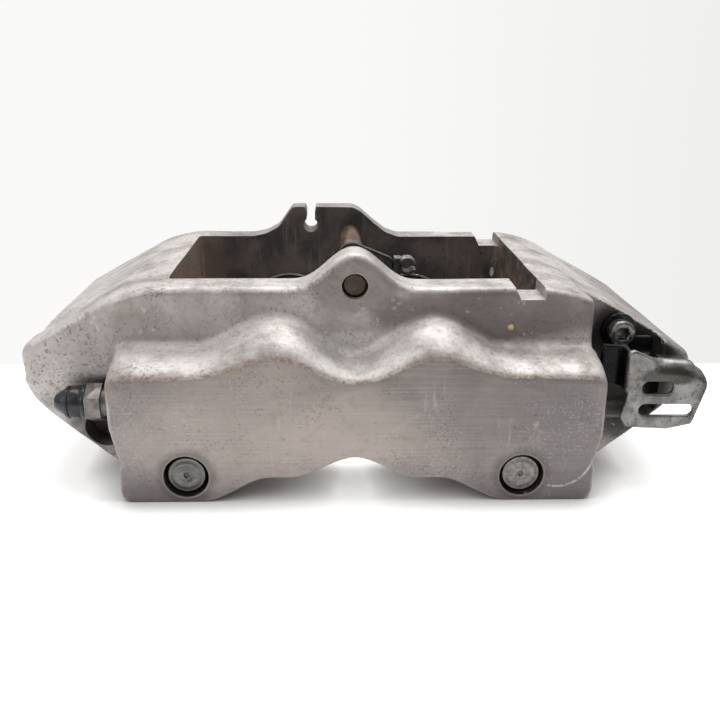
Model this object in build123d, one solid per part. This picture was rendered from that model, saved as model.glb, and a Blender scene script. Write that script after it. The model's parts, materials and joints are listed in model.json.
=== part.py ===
from build123d import *
import os

# Four-piston fixed brake caliper with radial mounting feet.
# Frame: X along the caliper, Y from the inboard half to the outboard half, Z radially outward.
# Origin: foot plane (Z = 0), halfway between the two mounting bolts and on their common plane.
# All dimensions are millimetres.

# --- overall body ---
LEFT_END_X = -105.0
RIGHT_END_X = 109.0
TOP_Z = 65.0
TOP_FLAT_HALF = 68.0
END_SLOPE = 0.55
HEEL_X, HEEL_Z = 89.0, 8.5
HEEL_SLOPE = 16 / 15
SOLE_X, SOLE_Z = 76.0, 1.5

# --- positions across the disc ---
HALF_THICKNESS = 27.0
INBOARD_FACE_Y = -13.5
INBOARD_INNER_Y = INBOARD_FACE_Y + HALF_THICKNESS
WINDOW_WIDTH = 67.5
OUTBOARD_INNER_Y = INBOARD_INNER_Y + WINDOW_WIDTH
OUTBOARD_FACE_Y = OUTBOARD_INNER_Y + HALF_THICKNESS
DISC_PLANE_Y = INBOARD_INNER_Y + WINDOW_WIDTH / 2
WALL_THICKNESS = 12.0
WALL_HALF_LENGTH = 75.0
WING_SETBACK = 18.0

# --- cylinder block ---
BLOCK_END_X = 77.0
PLATEAU_Z = 39.3
BUMP_Z = 45.0
VALLEY_Z = 37.5
PLATEAU_RISE = 4.2
BUMP_RISE = 10.5
VALLEY_RISE = 4.5
SWELL_DEPTH = 15.0
OUTBOARD_FOOT_Z = 4.0
FOOT_STOCK = 1.0
ARCH_END_X = 47.0
ARCH_HEIGHT = 15.0

# --- pad window, abutment notch and disc channel ---
WINDOW_HALF_LENGTH = 59.0
NOTCH_START_X = 49.2
NOTCH_DEPTH = 3.6
NOTCH_RAMP = 2.2
DISC_CHANNEL_RADIUS = 168.0
DISC_CHANNEL_WIDTH = 38.0
DISC_CENTRE_Z = -110.0

# --- piston bores ---
PISTON_X = 24.0
PISTON_Z = 32.5
PISTON_RADIUS = 15.0
RUNNING_CLEARANCE = 0.05
PISTON_LENGTH = 23.0
PISTON_PROUD = 2.0
PISTON_CHAMFER = 1.0
PISTON_CAVITY_RADIUS = 11.0
PISTON_CAVITY_DEPTH = 17.0
PISTON_GROOVE_DEPTH = 1.2
BORE_DEPTH = 22.0
SEAL_START = 4.6
SEAL_WIDTH = 3.0
SEAL_THICKNESS = 2.8
BOOT_SEAT_RADIUS = 17.4
BOOT_SEAT_DEPTH = 2.5

# --- mounting feet ---
MOUNT_SPACING = 104.5
MOUNT_X = MOUNT_SPACING / 2
BARREL_Z = 8.7
BARREL_RADIUS = 6.9
BARREL_BORE_RADIUS = 7.0
BARREL_HALF_LENGTH = 12.0
BARREL_CHAMFER = 1.2
MOUNT_THREAD_RADIUS = 5.0
FOOT_HOLE_RADIUS = 5.25
FOOT_HOLE_TOP_Z = 20.0

# --- pad pin, its lugs and the lead clip ---
PIN_Z = 65.5
PIN_RADIUS = 4.0
PIN_BORE_RADIUS = 4.05
PIN_START_Y = 3.5
PIN_END_Y = 90.5
PIN_NECK_RADIUS = 3.1
SLEEVE_LENGTH = 7.0
LUG_TOP_Z = 75.5
LUG_HALF_LENGTH = 21.0
FAR_LUG_TOP_Z = 76.4
FAR_LUG_LEFT_X = -38.0
FAR_LUG_RIGHT_X = 19.0
LUG_ROOT_DEPTH = 10.0
KEYHOLE_X, KEYHOLE_Z = -15.4, 69.4
KEYHOLE_RADIUS = 2.7
KEYHOLE_SLOT = 3.3
STRAP_Y = 43.5
STRAP_WIDTH = 2.6
STRAP_THICKNESS = 0.8
STRAP_REACH = 11.5
STRAP_SLOPE = -3.0
STRAP_TAPER = 1.6
CLIP_HALF_WIDTH = 2.6

# --- fluid passages ---
GALLERY_Y = -1.0
GALLERY_Z = 28.8
PASSAGE_RADIUS = 2.0
BLEED_THREAD_RADIUS = 5.0
PORT_LENGTH = 12.0
CROSSOVER_X = 96.0
CROSSOVER_Z = 38.0
FEEDER_MOUTH_Y = 21.5
FEEDER_END_X = 36.0
FEEDER_END_Z = 34.0
PLUG_RADIUS = 3.0
PLUG_LENGTH = 5.0
POCKET_X, POCKET_Z = -81.0, 17.5
POCKET_RADIUS = 6.2
POCKET_DEPTH = 9.0

# --- bleed screw and its cap ---
HEX_ACROSS_FLATS = 11.0
HEX_START_X = 80.0
HEX_END_X = 84.8
NECK_RADIUS = 4.6
NIPPLE_END_X = 93.0
NIPPLE_RADIUS = 2.6
BARB_RADIUS = 3.2
BLEED_CHANNEL_RADIUS = 0.9
CAP_BASE_RADIUS = 5.6
CAP_TIP_RADIUS = 3.5
CAP_END_X = 95.0
BLEED_RELIEF_RADIUS = 7.0

# --- hose bracket ---
RECESS_END_X = 99.5
RECESS_FLOOR_Y = 13.6
RECESS_LOW_Z = 21.0
SHEET = 1.6
BRACKET_BOLT_X = 87.0
BRACKET_BOLT_Z = 48.0
BRACKET_LOBE_RADIUS = 5.8
BOLT_RADIUS = 2.5
BOLT_HEAD_RADIUS = 4.25
BOLT_HEAD_HEIGHT = 4.0
BOLT_LENGTH = 14.0
SOCKET_RADIUS = 2.0
SOCKET_DEPTH = 2.6
FRONT_PLATE_Y = -7.6
BRACKET_ARM_X = 98.6
BRACKET_ARM_TOP_Z = 46.2
BRACKET_WEB_Z = 38.4
RIM_Z = 41.4
RIM_END_X = 105.2
RIM_END_Y = 4.2
FLANGE_LOW_Z = 34.0
FLANGE_HEIGHT = 13.0
FLANGE_END_Y = 1.4
UPPER_SLOT_X, UPPER_SLOT_Z = 94.3, 35.5
UPPER_SLOT_LENGTH = 9.9
UPPER_SLOT_HEIGHT = 4.2
LOWER_SLOT_X, LOWER_SLOT_Z = 97.7, 28.1
LOWER_SLOT_LENGTH = 17.2
LOWER_SLOT_HEIGHT = 3.8


def xz_plane(y):
    """Plane for outlines drawn in X and Z at one Y position."""
    return Plane((0, y, 0), x_dir=(1, 0, 0), z_dir=(0, -1, 0))


def across(outline, y_low, y_high):
    """Extrude an XZ outline so that it fills the span between two Y positions."""
    return extrude(xz_plane(y_high) * outline, y_high - y_low, dir=(0, -1, 0))


def block(low, high):
    """Rectangular block between two corners."""
    size = Vector(high) - Vector(low)
    centre = (Vector(high) + Vector(low)) / 2
    return Pos(centre) * Box(size.X, size.Y, size.Z)


def rod(start, end, radius):
    """Cylinder from one point to another."""
    axis = Vector(end) - Vector(start)
    return extrude(Plane(start, z_dir=axis) * Circle(radius), axis.length)


def tube(start, end, outer, inner):
    """Tube from one point to another."""
    return rod(start, end, outer) - rod(start, end, inner)


def to_outboard(shape):
    """Mirror a shape from the inboard half to the outboard half."""
    return mirror(shape, Plane((0, DISC_PLANE_Y, 0), z_dir=(0, 1, 0)))


def end_corners(end_x):
    """Corners of one end of the side outline, from the flat top round to the underside."""
    sign = 1 if end_x > 0 else -1
    reach = abs(end_x)
    return [
        (sign * TOP_FLAT_HALF, TOP_Z),
        (end_x, TOP_Z - (reach - TOP_FLAT_HALF) * END_SLOPE),
        (end_x, HEEL_Z + (reach - HEEL_X) * HEEL_SLOPE),
        (sign * HEEL_X, HEEL_Z),
        (sign * SOLE_X, SOLE_Z),
    ]


def end_profile():
    """Side outline shared by both halves: flat top, sloping ends, rising underside."""
    return Polygon(*end_corners(LEFT_END_X), *reversed(end_corners(RIGHT_END_X)), align=None)


def arch_curve(low, foot_z):
    """Underside between the feet: rises in two steps to its crown."""
    return Spline(
        (-ARCH_END_X, low),
        (-30, foot_z + 7),
        (-14, foot_z + 10),
        (0, foot_z + ARCH_HEIGHT),
        (14, foot_z + 10),
        (30, foot_z + 7),
        (ARCH_END_X, low),
        tangents=[(2, 1), (2, -1)],
    )


def arch_tunnel():
    """Space below the arch, under the inboard wall behind the cylinder block."""
    low = -FOOT_STOCK
    outline = make_face([
        arch_curve(low, 0),
        Polyline((ARCH_END_X, low), (ARCH_END_X, low - 5), (-ARCH_END_X, low - 5), (-ARCH_END_X, low)),
    ])
    return across(outline, INBOARD_INNER_Y - WALL_THICKNESS, INBOARD_INNER_Y + 1)


def block_outline(rise, inset, foot_z):
    """Outline of a cylinder block; rise from 0 to 1 lifts the wavy top over the pistons."""
    plateau = PLATEAU_Z + rise * PLATEAU_RISE
    bump = BUMP_Z + rise * BUMP_RISE
    valley = VALLEY_Z + rise * VALLEY_RISE
    side = BLOCK_END_X - inset
    low = foot_z - FOOT_STOCK + 0.4 * inset
    edges = [
        Spline(
            (-side + 5, plateau),
            (-50, plateau),
            (-PISTON_X, bump),
            (0, valley),
            (PISTON_X, bump),
            (50, plateau),
            (side - 5, plateau),
            tangents=[(1, 0), (1, 0)],
        ),
        arch_curve(low, foot_z),
    ]
    for sign in (-1, 1):
        shoulder = (sign * side, plateau - 5)
        waist = (sign * (side - 1.5), low + 14)
        toe = (sign * (side - 2.5), low + 5)
        sole = (sign * (side - 7.5), low)
        edges.append(RadiusArc((sign * (side - 5), plateau), shoulder, sign * 5))
        edges.append(Line(shoulder, waist))
        edges.append(Line(waist, toe))
        edges.append(RadiusArc(toe, sole, sign * 5))
        edges.append(Line(sole, (sign * ARCH_END_X, low)))
    return make_face(edges)


def cylinder_block(foot_z):
    """Inboard cylinder block: the outline swells from the flat outer face to the pad-side wall."""
    stations = [(0.0, 0.0, 1.6), (1.5, 0.25, 0.3), (7.0, 0.75, 0.0), (SWELL_DEPTH, 1.0, 0.0)]
    sections = [
        xz_plane(INBOARD_FACE_Y + depth) * block_outline(rise, inset, foot_z)
        for depth, rise, inset in stations
    ]
    swell = loft(sections)
    rear = across(block_outline(1.0, 0.0, foot_z), INBOARD_FACE_Y + SWELL_DEPTH, INBOARD_INNER_Y)
    stock = block(
        (-BLOCK_END_X - 1, INBOARD_FACE_Y - 1, foot_z - 5),
        (BLOCK_END_X + 1, INBOARD_INNER_Y + 1, foot_z),
    )
    return swell + rear - stock


def near_lug():
    """Raised lug that carries the inboard end of the pad pin."""
    half = LUG_HALF_LENGTH
    root_z = TOP_Z - LUG_ROOT_DEPTH
    outline = make_face([
        Spline(
            (-half, TOP_Z),
            (-8.5, LUG_TOP_Z - 4),
            (0, LUG_TOP_Z),
            (8.5, LUG_TOP_Z - 4),
            (half, TOP_Z),
            tangents=[(1, 0), (1, 0)],
        ),
        Polyline((half, TOP_Z), (half, root_z), (-half, root_z), (-half, TOP_Z)),
    ])
    return across(outline, INBOARD_INNER_Y - WALL_THICKNESS, INBOARD_INNER_Y)


def far_lug():
    """Longer outboard lug: pin bore at one end, open keyhole slot at the other."""
    left = (FAR_LUG_LEFT_X, TOP_Z)
    right = (FAR_LUG_RIGHT_X, TOP_Z)
    crest_start = (FAR_LUG_LEFT_X + 15, FAR_LUG_TOP_Z)
    crest_end = (FAR_LUG_RIGHT_X - 18, FAR_LUG_TOP_Z)
    root_z = TOP_Z - LUG_ROOT_DEPTH
    outline = make_face([
        Spline(left, (FAR_LUG_LEFT_X + 10, TOP_Z + 3.6), crest_start, tangents=[(1, 0), (0.35, 1)]),
        Line(crest_start, crest_end),
        Spline(crest_end, (FAR_LUG_RIGHT_X - 9.5, TOP_Z + 5.3), right, tangents=[(1, 0), (1, 0)]),
        Polyline(right, (FAR_LUG_RIGHT_X, root_z), (FAR_LUG_LEFT_X, root_z), left),
    ])
    return across(outline, OUTBOARD_INNER_Y, OUTBOARD_INNER_Y + WALL_THICKNESS)


def body_blank():
    """Body before machining."""
    wing_front = INBOARD_FACE_Y + WING_SETBACK
    wings = across(end_profile(), wing_front, 2 * DISC_PLANE_Y - wing_front)
    wall_y = INBOARD_INNER_Y - WALL_THICKNESS
    walls = across(end_profile(), wall_y, 2 * DISC_PLANE_Y - wall_y)
    walls &= block((-WALL_HALF_LENGTH, wall_y, 0), (WALL_HALF_LENGTH, 2 * DISC_PLANE_Y - wall_y, TOP_Z))
    blank = wings + walls + cylinder_block(0) + to_outboard(cylinder_block(OUTBOARD_FOOT_Z))
    tunnel = arch_tunnel()
    return blank + near_lug() + far_lug() - [tunnel, to_outboard(tunnel)]


def pad_window():
    """Opening for the two pads, with the abutment notch at its right-hand end."""
    window = block(
        (-WINDOW_HALF_LENGTH, INBOARD_INNER_Y, -5),
        (WINDOW_HALF_LENGTH, OUTBOARD_INNER_Y, FAR_LUG_TOP_Z + 5),
    )
    notch = Polygon(
        (NOTCH_START_X, TOP_Z + 1),
        (NOTCH_START_X + NOTCH_RAMP, TOP_Z - NOTCH_DEPTH),
        (WINDOW_HALF_LENGTH, TOP_Z - NOTCH_DEPTH),
        (WINDOW_HALF_LENGTH, TOP_Z + 1),
        align=None,
    )
    return window + across(notch, INBOARD_FACE_Y, OUTBOARD_FACE_Y)


def disc_channel():
    """Clearance for the disc rim between the two halves."""
    half = DISC_CHANNEL_WIDTH / 2
    start = (0, DISC_PLANE_Y - half, DISC_CENTRE_Z)
    end = (0, DISC_PLANE_Y + half, DISC_CENTRE_Z)
    return rod(start, end, DISC_CHANNEL_RADIUS)


def on_piston_axis(x, depth):
    """Point on an inboard piston axis, counted outward from the inner wall into the window."""
    return (x, INBOARD_INNER_Y + depth, PISTON_Z)


def piston_bore(x):
    """Inboard bore with its seal groove and boot seat."""
    bore = rod(on_piston_axis(x, -BORE_DEPTH), on_piston_axis(x, 1), PISTON_RADIUS + RUNNING_CLEARANCE)
    groove_end = -SEAL_START
    groove_start = groove_end - SEAL_WIDTH - 0.2
    groove_radius = PISTON_RADIUS + SEAL_THICKNESS + 0.15
    groove = rod(on_piston_axis(x, groove_start), on_piston_axis(x, groove_end), groove_radius)
    seat = rod(on_piston_axis(x, -BOOT_SEAT_DEPTH), on_piston_axis(x, 1), BOOT_SEAT_RADIUS)
    return bore + groove + seat


def foot_bores():
    """Cross bore for each barrel nut, and the bolt hole that meets it from below."""
    cuts = []
    for x in (-MOUNT_X, MOUNT_X):
        cross_start = (x, INBOARD_FACE_Y - 2, BARREL_Z)
        cross_end = (x, INBOARD_INNER_Y + 1, BARREL_Z)
        bolt_hole = rod((x, 0, -1), (x, 0, FOOT_HOLE_TOP_Z), FOOT_HOLE_RADIUS)
        cuts.append(rod(cross_start, cross_end, BARREL_BORE_RADIUS) + bolt_hole)
    return cuts


def pin_bores():
    """Pin bore through both lugs, and the keyhole slot in the outboard lug."""
    far_y = OUTBOARD_INNER_Y + WALL_THICKNESS + 1
    bore = rod((0, -1, PIN_Z), (0, far_y, PIN_Z), PIN_BORE_RADIUS)
    key = rod((KEYHOLE_X, OUTBOARD_INNER_Y - 1, KEYHOLE_Z), (KEYHOLE_X, far_y, KEYHOLE_Z), KEYHOLE_RADIUS)
    half = KEYHOLE_SLOT / 2
    slot = Polygon(
        (KEYHOLE_X - half, KEYHOLE_Z),
        (KEYHOLE_X + half, KEYHOLE_Z),
        (KEYHOLE_X + half, FAR_LUG_TOP_Z - 2),
        (KEYHOLE_X + half + 0.8, FAR_LUG_TOP_Z + 1),
        (KEYHOLE_X - half - 0.8, FAR_LUG_TOP_Z + 1),
        (KEYHOLE_X - half, FAR_LUG_TOP_Z - 2),
        align=None,
    )
    return bore + key + across(slot, OUTBOARD_INNER_Y - 1, far_y)


def half_passages():
    """Inboard gallery with the bleed seat at its left end, and the feeder from the left end face."""
    seat_x = -BLOCK_END_X + PORT_LENGTH
    gallery = rod((seat_x - 1, GALLERY_Y, GALLERY_Z), (PISTON_X, GALLERY_Y, GALLERY_Z), PASSAGE_RADIUS)
    bleed_hole = rod((-BLOCK_END_X - 2, GALLERY_Y, GALLERY_Z), (seat_x, GALLERY_Y, GALLERY_Z),
                     BLEED_THREAD_RADIUS)
    mouth = Vector(LEFT_END_X - 1, FEEDER_MOUTH_Y, CROSSOVER_Z)
    end = Vector(-FEEDER_END_X, GALLERY_Y, FEEDER_END_Z)
    feeder = rod(mouth, end, PASSAGE_RADIUS)
    plug_seat = rod((LEFT_END_X - 1, FEEDER_MOUTH_Y, CROSSOVER_Z),
                    (LEFT_END_X + PLUG_LENGTH, FEEDER_MOUTH_Y, CROSSOVER_Z), PLUG_RADIUS)
    return gallery + bleed_hole + feeder + plug_seat


def inlet_port():
    """Threaded inlet in the right side of the inboard block, feeding its gallery."""
    seat_x = BLOCK_END_X - PORT_LENGTH
    mouth = (BLOCK_END_X + 2, GALLERY_Y, GALLERY_Z)
    thread = rod((seat_x, GALLERY_Y, GALLERY_Z), mouth, BLEED_THREAD_RADIUS)
    gallery_end = (seat_x + 1, GALLERY_Y, GALLERY_Z)
    return thread + rod((PISTON_X, GALLERY_Y, GALLERY_Z), gallery_end, PASSAGE_RADIUS)


def crossover():
    """Drilling over the disc rim that joins the two feeders, plugged on the outboard side."""
    wing_back = 2 * DISC_PLANE_Y - (INBOARD_FACE_Y + WING_SETBACK)
    mouth = (-CROSSOVER_X, wing_back + 1, CROSSOVER_Z)
    bore = rod((-CROSSOVER_X, FEEDER_MOUTH_Y - 3, CROSSOVER_Z), mouth, PASSAGE_RADIUS)
    return bore + rod((-CROSSOVER_X, wing_back - PLUG_LENGTH, CROSSOVER_Z), mouth, PLUG_RADIUS)


def bracket_recess():
    """Pocket in the right-hand end for the hose bracket, with its tapped hole."""
    pocket = block((BLOCK_END_X, INBOARD_FACE_Y, RECESS_LOW_Z), (RECESS_END_X, RECESS_FLOOR_Y, TOP_Z + 5))
    step = block(
        (WALL_HALF_LENGTH, INBOARD_FACE_Y, PLATEAU_Z + 5),
        (BLOCK_END_X + 1, RECESS_FLOOR_Y, TOP_Z + 5),
    )
    hole = rod((BRACKET_BOLT_X, RECESS_FLOOR_Y - 1, BRACKET_BOLT_Z),
               (BRACKET_BOLT_X, RECESS_FLOOR_Y + BOLT_LENGTH, BRACKET_BOLT_Z), BOLT_RADIUS)
    return pocket + step + hole


def end_pocket():
    """Blind round pocket in the left-hand end, below the bleed screw."""
    y = INBOARD_FACE_Y + WING_SETBACK
    return rod((POCKET_X, y - 3, POCKET_Z), (POCKET_X, y + POCKET_DEPTH, POCKET_Z), POCKET_RADIUS)


def bleed_relief():
    """Round relief along the inboard wing that clears the bleed screw's hexagon and cap."""
    start = (-BLOCK_END_X, GALLERY_Y, GALLERY_Z)
    return rod(start, (LEFT_END_X - 1, GALLERY_Y, GALLERY_Z), BLEED_RELIEF_RADIUS)


def caliper_body():
    body = body_blank() - pad_window() - disc_channel()
    for x in (-PISTON_X, PISTON_X):
        bore = piston_bore(x)
        body -= [bore, to_outboard(bore)]
    body -= foot_bores()
    body -= pin_bores()
    passages = half_passages()
    body -= [passages, to_outboard(passages)]
    relief = bleed_relief()
    body -= [relief, to_outboard(relief)]
    body -= [inlet_port(), crossover(), bracket_recess(), end_pocket()]
    return body


def piston(x):
    """Inboard cup piston, open toward the pad, with a boot groove near its rim."""
    front = PISTON_PROUD
    back = front - PISTON_LENGTH
    shell = rod(on_piston_axis(x, back), on_piston_axis(x, front), PISTON_RADIUS)
    shell = chamfer(shell.edges().sort_by(Axis.Y)[0], PISTON_CHAMFER)
    cavity_start = on_piston_axis(x, front - PISTON_CAVITY_DEPTH)
    shell -= rod(cavity_start, on_piston_axis(x, front + 1), PISTON_CAVITY_RADIUS)
    groove = tube(on_piston_axis(x, -0.9), on_piston_axis(x, 0.9), PISTON_RADIUS + 1,
                  PISTON_RADIUS - PISTON_GROOVE_DEPTH)
    return shell - groove


def piston_seal(x):
    """Square-section seal in its bore groove."""
    start = on_piston_axis(x, -SEAL_START - SEAL_WIDTH - 0.1)
    end = on_piston_axis(x, -SEAL_START - 0.1)
    return tube(start, end, PISTON_RADIUS + SEAL_THICKNESS, PISTON_RADIUS + RUNNING_CLEARANCE)


def boot_ring(x):
    """Pressed steel ring that holds the dust boot in its seat."""
    start = on_piston_axis(x, -BOOT_SEAT_DEPTH + 0.02)
    return tube(start, on_piston_axis(x, 0.3), BOOT_SEAT_RADIUS - 0.02, BOOT_SEAT_RADIUS - 0.7)


def dust_boot(x):
    """Rubber boot between the ring and the piston."""
    start = on_piston_axis(x, -BOOT_SEAT_DEPTH + 0.1)
    return tube(start, on_piston_axis(x, 1.0), BOOT_SEAT_RADIUS - 0.75, PISTON_RADIUS + 0.08)


def barrel_nut(x):
    """Cross-dowel nut with a radial tapped hole and a centre mark in each end."""
    start = (x, -BARREL_HALF_LENGTH, BARREL_Z)
    end = (x, BARREL_HALF_LENGTH, BARREL_Z)
    barrel = chamfer(rod(start, end, BARREL_RADIUS).edges().filter_by(GeomType.CIRCLE), BARREL_CHAMFER)
    barrel -= rod((x, 0, BARREL_Z - 10), (x, 0, BARREL_Z + 10), MOUNT_THREAD_RADIUS)
    mark = Plane((x, -BARREL_HALF_LENGTH, BARREL_Z), z_dir=(0, 1, 0)) * Cone(0.9, 0.1, 1.6)
    return barrel - mark


def pad_pin():
    """Pad retaining pin with a necked inboard end for its spring sleeve."""
    pin = rod((0, PIN_START_Y, PIN_Z), (0, PIN_END_Y, PIN_Z), PIN_RADIUS)
    pin = chamfer(pin.edges().filter_by(GeomType.CIRCLE), 0.8)
    neck_start = (0, PIN_START_Y + 1.5, PIN_Z)
    neck_end = (0, PIN_START_Y + 1.5 + SLEEVE_LENGTH, PIN_Z)
    return pin - tube(neck_start, neck_end, PIN_RADIUS + 1, PIN_NECK_RADIUS)


def pin_sleeve():
    """Split spring sleeve that grips the inboard lug."""
    start = PIN_START_Y + 1.55
    sleeve = tube((0, start, PIN_Z), (0, start + SLEEVE_LENGTH - 0.1, PIN_Z), PIN_BORE_RADIUS - 0.02,
                  PIN_NECK_RADIUS + 0.05)
    return sleeve - block((-0.5, start - 1, PIN_Z), (0.5, start + SLEEVE_LENGTH, PIN_Z + 6))


def strap_loop(radius):
    """Hull of the pin circle and the clip circle beside it, drawn in X and Z."""
    pin_circle = Pos(0, PIN_Z) * Circle(radius)
    clip_circle = Pos(STRAP_REACH, PIN_Z + STRAP_SLOPE) * Circle(radius - STRAP_TAPER)
    return make_hull((pin_circle + clip_circle).edges())


def lead_strap():
    """Narrow strap looped over the pin."""
    inner = PIN_RADIUS + 0.1
    low = STRAP_Y - STRAP_WIDTH / 2
    high = STRAP_Y + STRAP_WIDTH / 2
    outer_loop = across(strap_loop(inner + STRAP_THICKNESS), low, high)
    return outer_loop - across(strap_loop(inner), low - 1, high + 1)


def lead_clip():
    """Small moulded clip that the strap holds, open on its right-hand side for a lead."""
    loop_radius = PIN_RADIUS + 0.1 + STRAP_THICKNESS - STRAP_TAPER
    x = STRAP_REACH + loop_radius + 0.05
    low = STRAP_Y - CLIP_HALF_WIDTH
    high = STRAP_Y + CLIP_HALF_WIDTH
    ring_x = x + 4.6
    ring_z = PIN_Z - 3.2
    base = block((x, low, PIN_Z - 6.5), (x + 2.4, high, PIN_Z - 0.2))
    holder = tube((ring_x, low, ring_z), (ring_x, high, ring_z), 3.2, 1.9)
    opening = block((ring_x + 0.8, low - 1, ring_z - 0.9), (ring_x + 4, high + 1, ring_z + 0.9))
    return base + (holder - opening)


def on_bleed_axis(shape):
    """Place a shape made along +X onto the inboard bleed axis, pointing out of the left end."""
    return Pos(0, GALLERY_Y, GALLERY_Z) * mirror(shape, Plane.YZ)


def bleed_screw():
    """Inboard bleed screw: sealing cone, shank, hexagon and drilled hose nipple."""
    seat_x = BLOCK_END_X - PORT_LENGTH + 0.1
    shank_radius = BLEED_THREAD_RADIUS - 0.05
    turned = revolve(make_face(Polyline(
        (seat_x, 0),
        (seat_x, 1.6),
        (seat_x + 3.0, shank_radius),
        (BLOCK_END_X + 0.5, shank_radius),
        (BLOCK_END_X + 0.5, NECK_RADIUS),
        (HEX_END_X, NECK_RADIUS),
        (HEX_END_X, NIPPLE_RADIUS),
        (NIPPLE_END_X - 3.0, NIPPLE_RADIUS),
        (NIPPLE_END_X - 2.4, BARB_RADIUS),
        (NIPPLE_END_X - 1.2, BARB_RADIUS),
        (NIPPLE_END_X, NIPPLE_RADIUS - 0.4),
        (NIPPLE_END_X, 0),
        close=True,
    )), Axis.X)
    hexagon = RegularPolygon(HEX_ACROSS_FLATS / 2, 6, major_radius=False, rotation=30)
    head_plane = Plane((HEX_START_X, 0, 0), x_dir=(0, 1, 0), z_dir=(1, 0, 0))
    head = extrude(head_plane * hexagon, HEX_END_X - HEX_START_X)
    channel = rod((seat_x + 4.0, 0, 0), (NIPPLE_END_X + 1, 0, 0), BLEED_CHANNEL_RADIUS)
    cross = rod((seat_x + 4.6, -6, 0), (seat_x + 4.6, 6, 0), BLEED_CHANNEL_RADIUS)
    return on_bleed_axis(turned + head - channel - cross)


def bleed_cap():
    """Rubber dust cap over the nipple: wide skirt, waist groove and tapered closed tip."""
    start = HEX_END_X + 0.05
    inner = BARB_RADIUS + 0.03
    shoulder = CAP_BASE_RADIUS - 0.6
    waist = CAP_BASE_RADIUS - 1.1
    profile = make_face(Polyline(
        (start, inner),
        (start, CAP_BASE_RADIUS),
        (start + 3.2, CAP_BASE_RADIUS - 0.2),
        (start + 4.0, waist),
        (start + 4.9, waist),
        (start + 5.3, shoulder),
        (start + 6.0, shoulder),
        (CAP_END_X - 0.6, CAP_TIP_RADIUS),
        (CAP_END_X, CAP_TIP_RADIUS - 0.6),
        (CAP_END_X, 0),
        (NIPPLE_END_X + 0.1, 0),
        (NIPPLE_END_X + 0.1, inner),
        close=True,
    ))
    return on_bleed_axis(revolve(profile, Axis.X))


def passage_plugs():
    """Three pressed plugs that close the drillings."""
    wing_back = 2 * DISC_PLANE_Y - (INBOARD_FACE_Y + WING_SETBACK)
    end_plug = rod((LEFT_END_X + 0.4, FEEDER_MOUTH_Y, CROSSOVER_Z),
                   (LEFT_END_X + PLUG_LENGTH - 0.02, FEEDER_MOUTH_Y, CROSSOVER_Z), PLUG_RADIUS - 0.02)
    side_plug = rod((-CROSSOVER_X, wing_back - PLUG_LENGTH + 0.02, CROSSOVER_Z),
                    (-CROSSOVER_X, wing_back - 0.4, CROSSOVER_Z), PLUG_RADIUS - 0.02)
    return Compound([end_plug, to_outboard(end_plug), side_plug])


def slot(x, z, length, height):
    """Obround slot through the bracket's front plate."""
    outline = Pos(x, z) * SlotOverall(length, height)
    return across(outline, FRONT_PLATE_Y - 1, FRONT_PLATE_Y + SHEET + 1)


def bracket_tab():
    """Bolted tab on the pocket floor: round lobe with an arm to its right, down to the web."""
    tab_y = RECESS_FLOOR_Y - SHEET
    lobe = Pos(BRACKET_BOLT_X, BRACKET_BOLT_Z) * Circle(BRACKET_LOBE_RADIUS)
    arm = Polygon(
        (BRACKET_BOLT_X - 4, BRACKET_WEB_Z),
        (BRACKET_ARM_X, BRACKET_WEB_Z),
        (BRACKET_ARM_X, BRACKET_ARM_TOP_Z),
        (BRACKET_BOLT_X - 4, BRACKET_ARM_TOP_Z),
        align=None,
    )
    arm = fillet(arm.vertices().group_by(Axis.Y)[-1].sort_by(Axis.X)[-1], 1.5)
    return across(lobe + arm, tab_y, RECESS_FLOOR_Y - 0.02)


def bracket_front():
    """Slotted front plate: low rounded corners, raised upper left corner, sloping right edge."""
    outline = Polygon(
        (84.4, 47.8),
        (93.6, 44.4),
        (103.4, 43.4),
        (107.6, 41.1),
        (110.5, 38.1),
        (106.6, 23.2),
        (98.9, 21.5),
        (86.0, 22.4),
        (83.3, 25.9),
        (85.2, 34.4),
        align=None,
    )
    outline = fillet(outline.vertices().sort_by(Axis.Y)[:4], 1.8)
    front = across(outline, FRONT_PLATE_Y, FRONT_PLATE_Y + SHEET)
    front -= slot(UPPER_SLOT_X, UPPER_SLOT_Z, UPPER_SLOT_LENGTH, UPPER_SLOT_HEIGHT)
    return front - slot(LOWER_SLOT_X, LOWER_SLOT_Z, LOWER_SLOT_LENGTH, LOWER_SLOT_HEIGHT)


def bracket_flange():
    """Locating flange, bent back from the left edge of the front plate towards the block."""
    plan = Polygon(
        (84.6, FRONT_PLATE_Y),
        (86.2, FRONT_PLATE_Y),
        (85.6, FLANGE_END_Y - 0.8),
        (79.0, FLANGE_END_Y + SHEET),
        (78.2, FLANGE_END_Y),
        (84.0, FLANGE_END_Y - 2.0),
        align=None,
    )
    return Pos(0, 0, FLANGE_LOW_Z) * extrude(plan, FLANGE_HEIGHT, dir=(0, 0, 1))


def hose_bracket():
    """Pressed sheet bracket: bolted tab, forward web, slotted front plate, rim and locating flange."""
    web = block((BRACKET_BOLT_X - 0.5, FRONT_PLATE_Y, BRACKET_WEB_Z),
                (BRACKET_ARM_X, RECESS_FLOOR_Y - 0.02, BRACKET_WEB_Z + SHEET))
    rim = block((BRACKET_ARM_X - 1, FRONT_PLATE_Y, RIM_Z), (RIM_END_X, RIM_END_Y, RIM_Z + SHEET))
    bracket = bracket_tab() + web + bracket_front() + rim + bracket_flange()
    return bracket - rod((BRACKET_BOLT_X, RECESS_FLOOR_Y - SHEET - 1, BRACKET_BOLT_Z),
                         (BRACKET_BOLT_X, RECESS_FLOOR_Y + 1, BRACKET_BOLT_Z), BOLT_RADIUS + 0.2)


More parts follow.
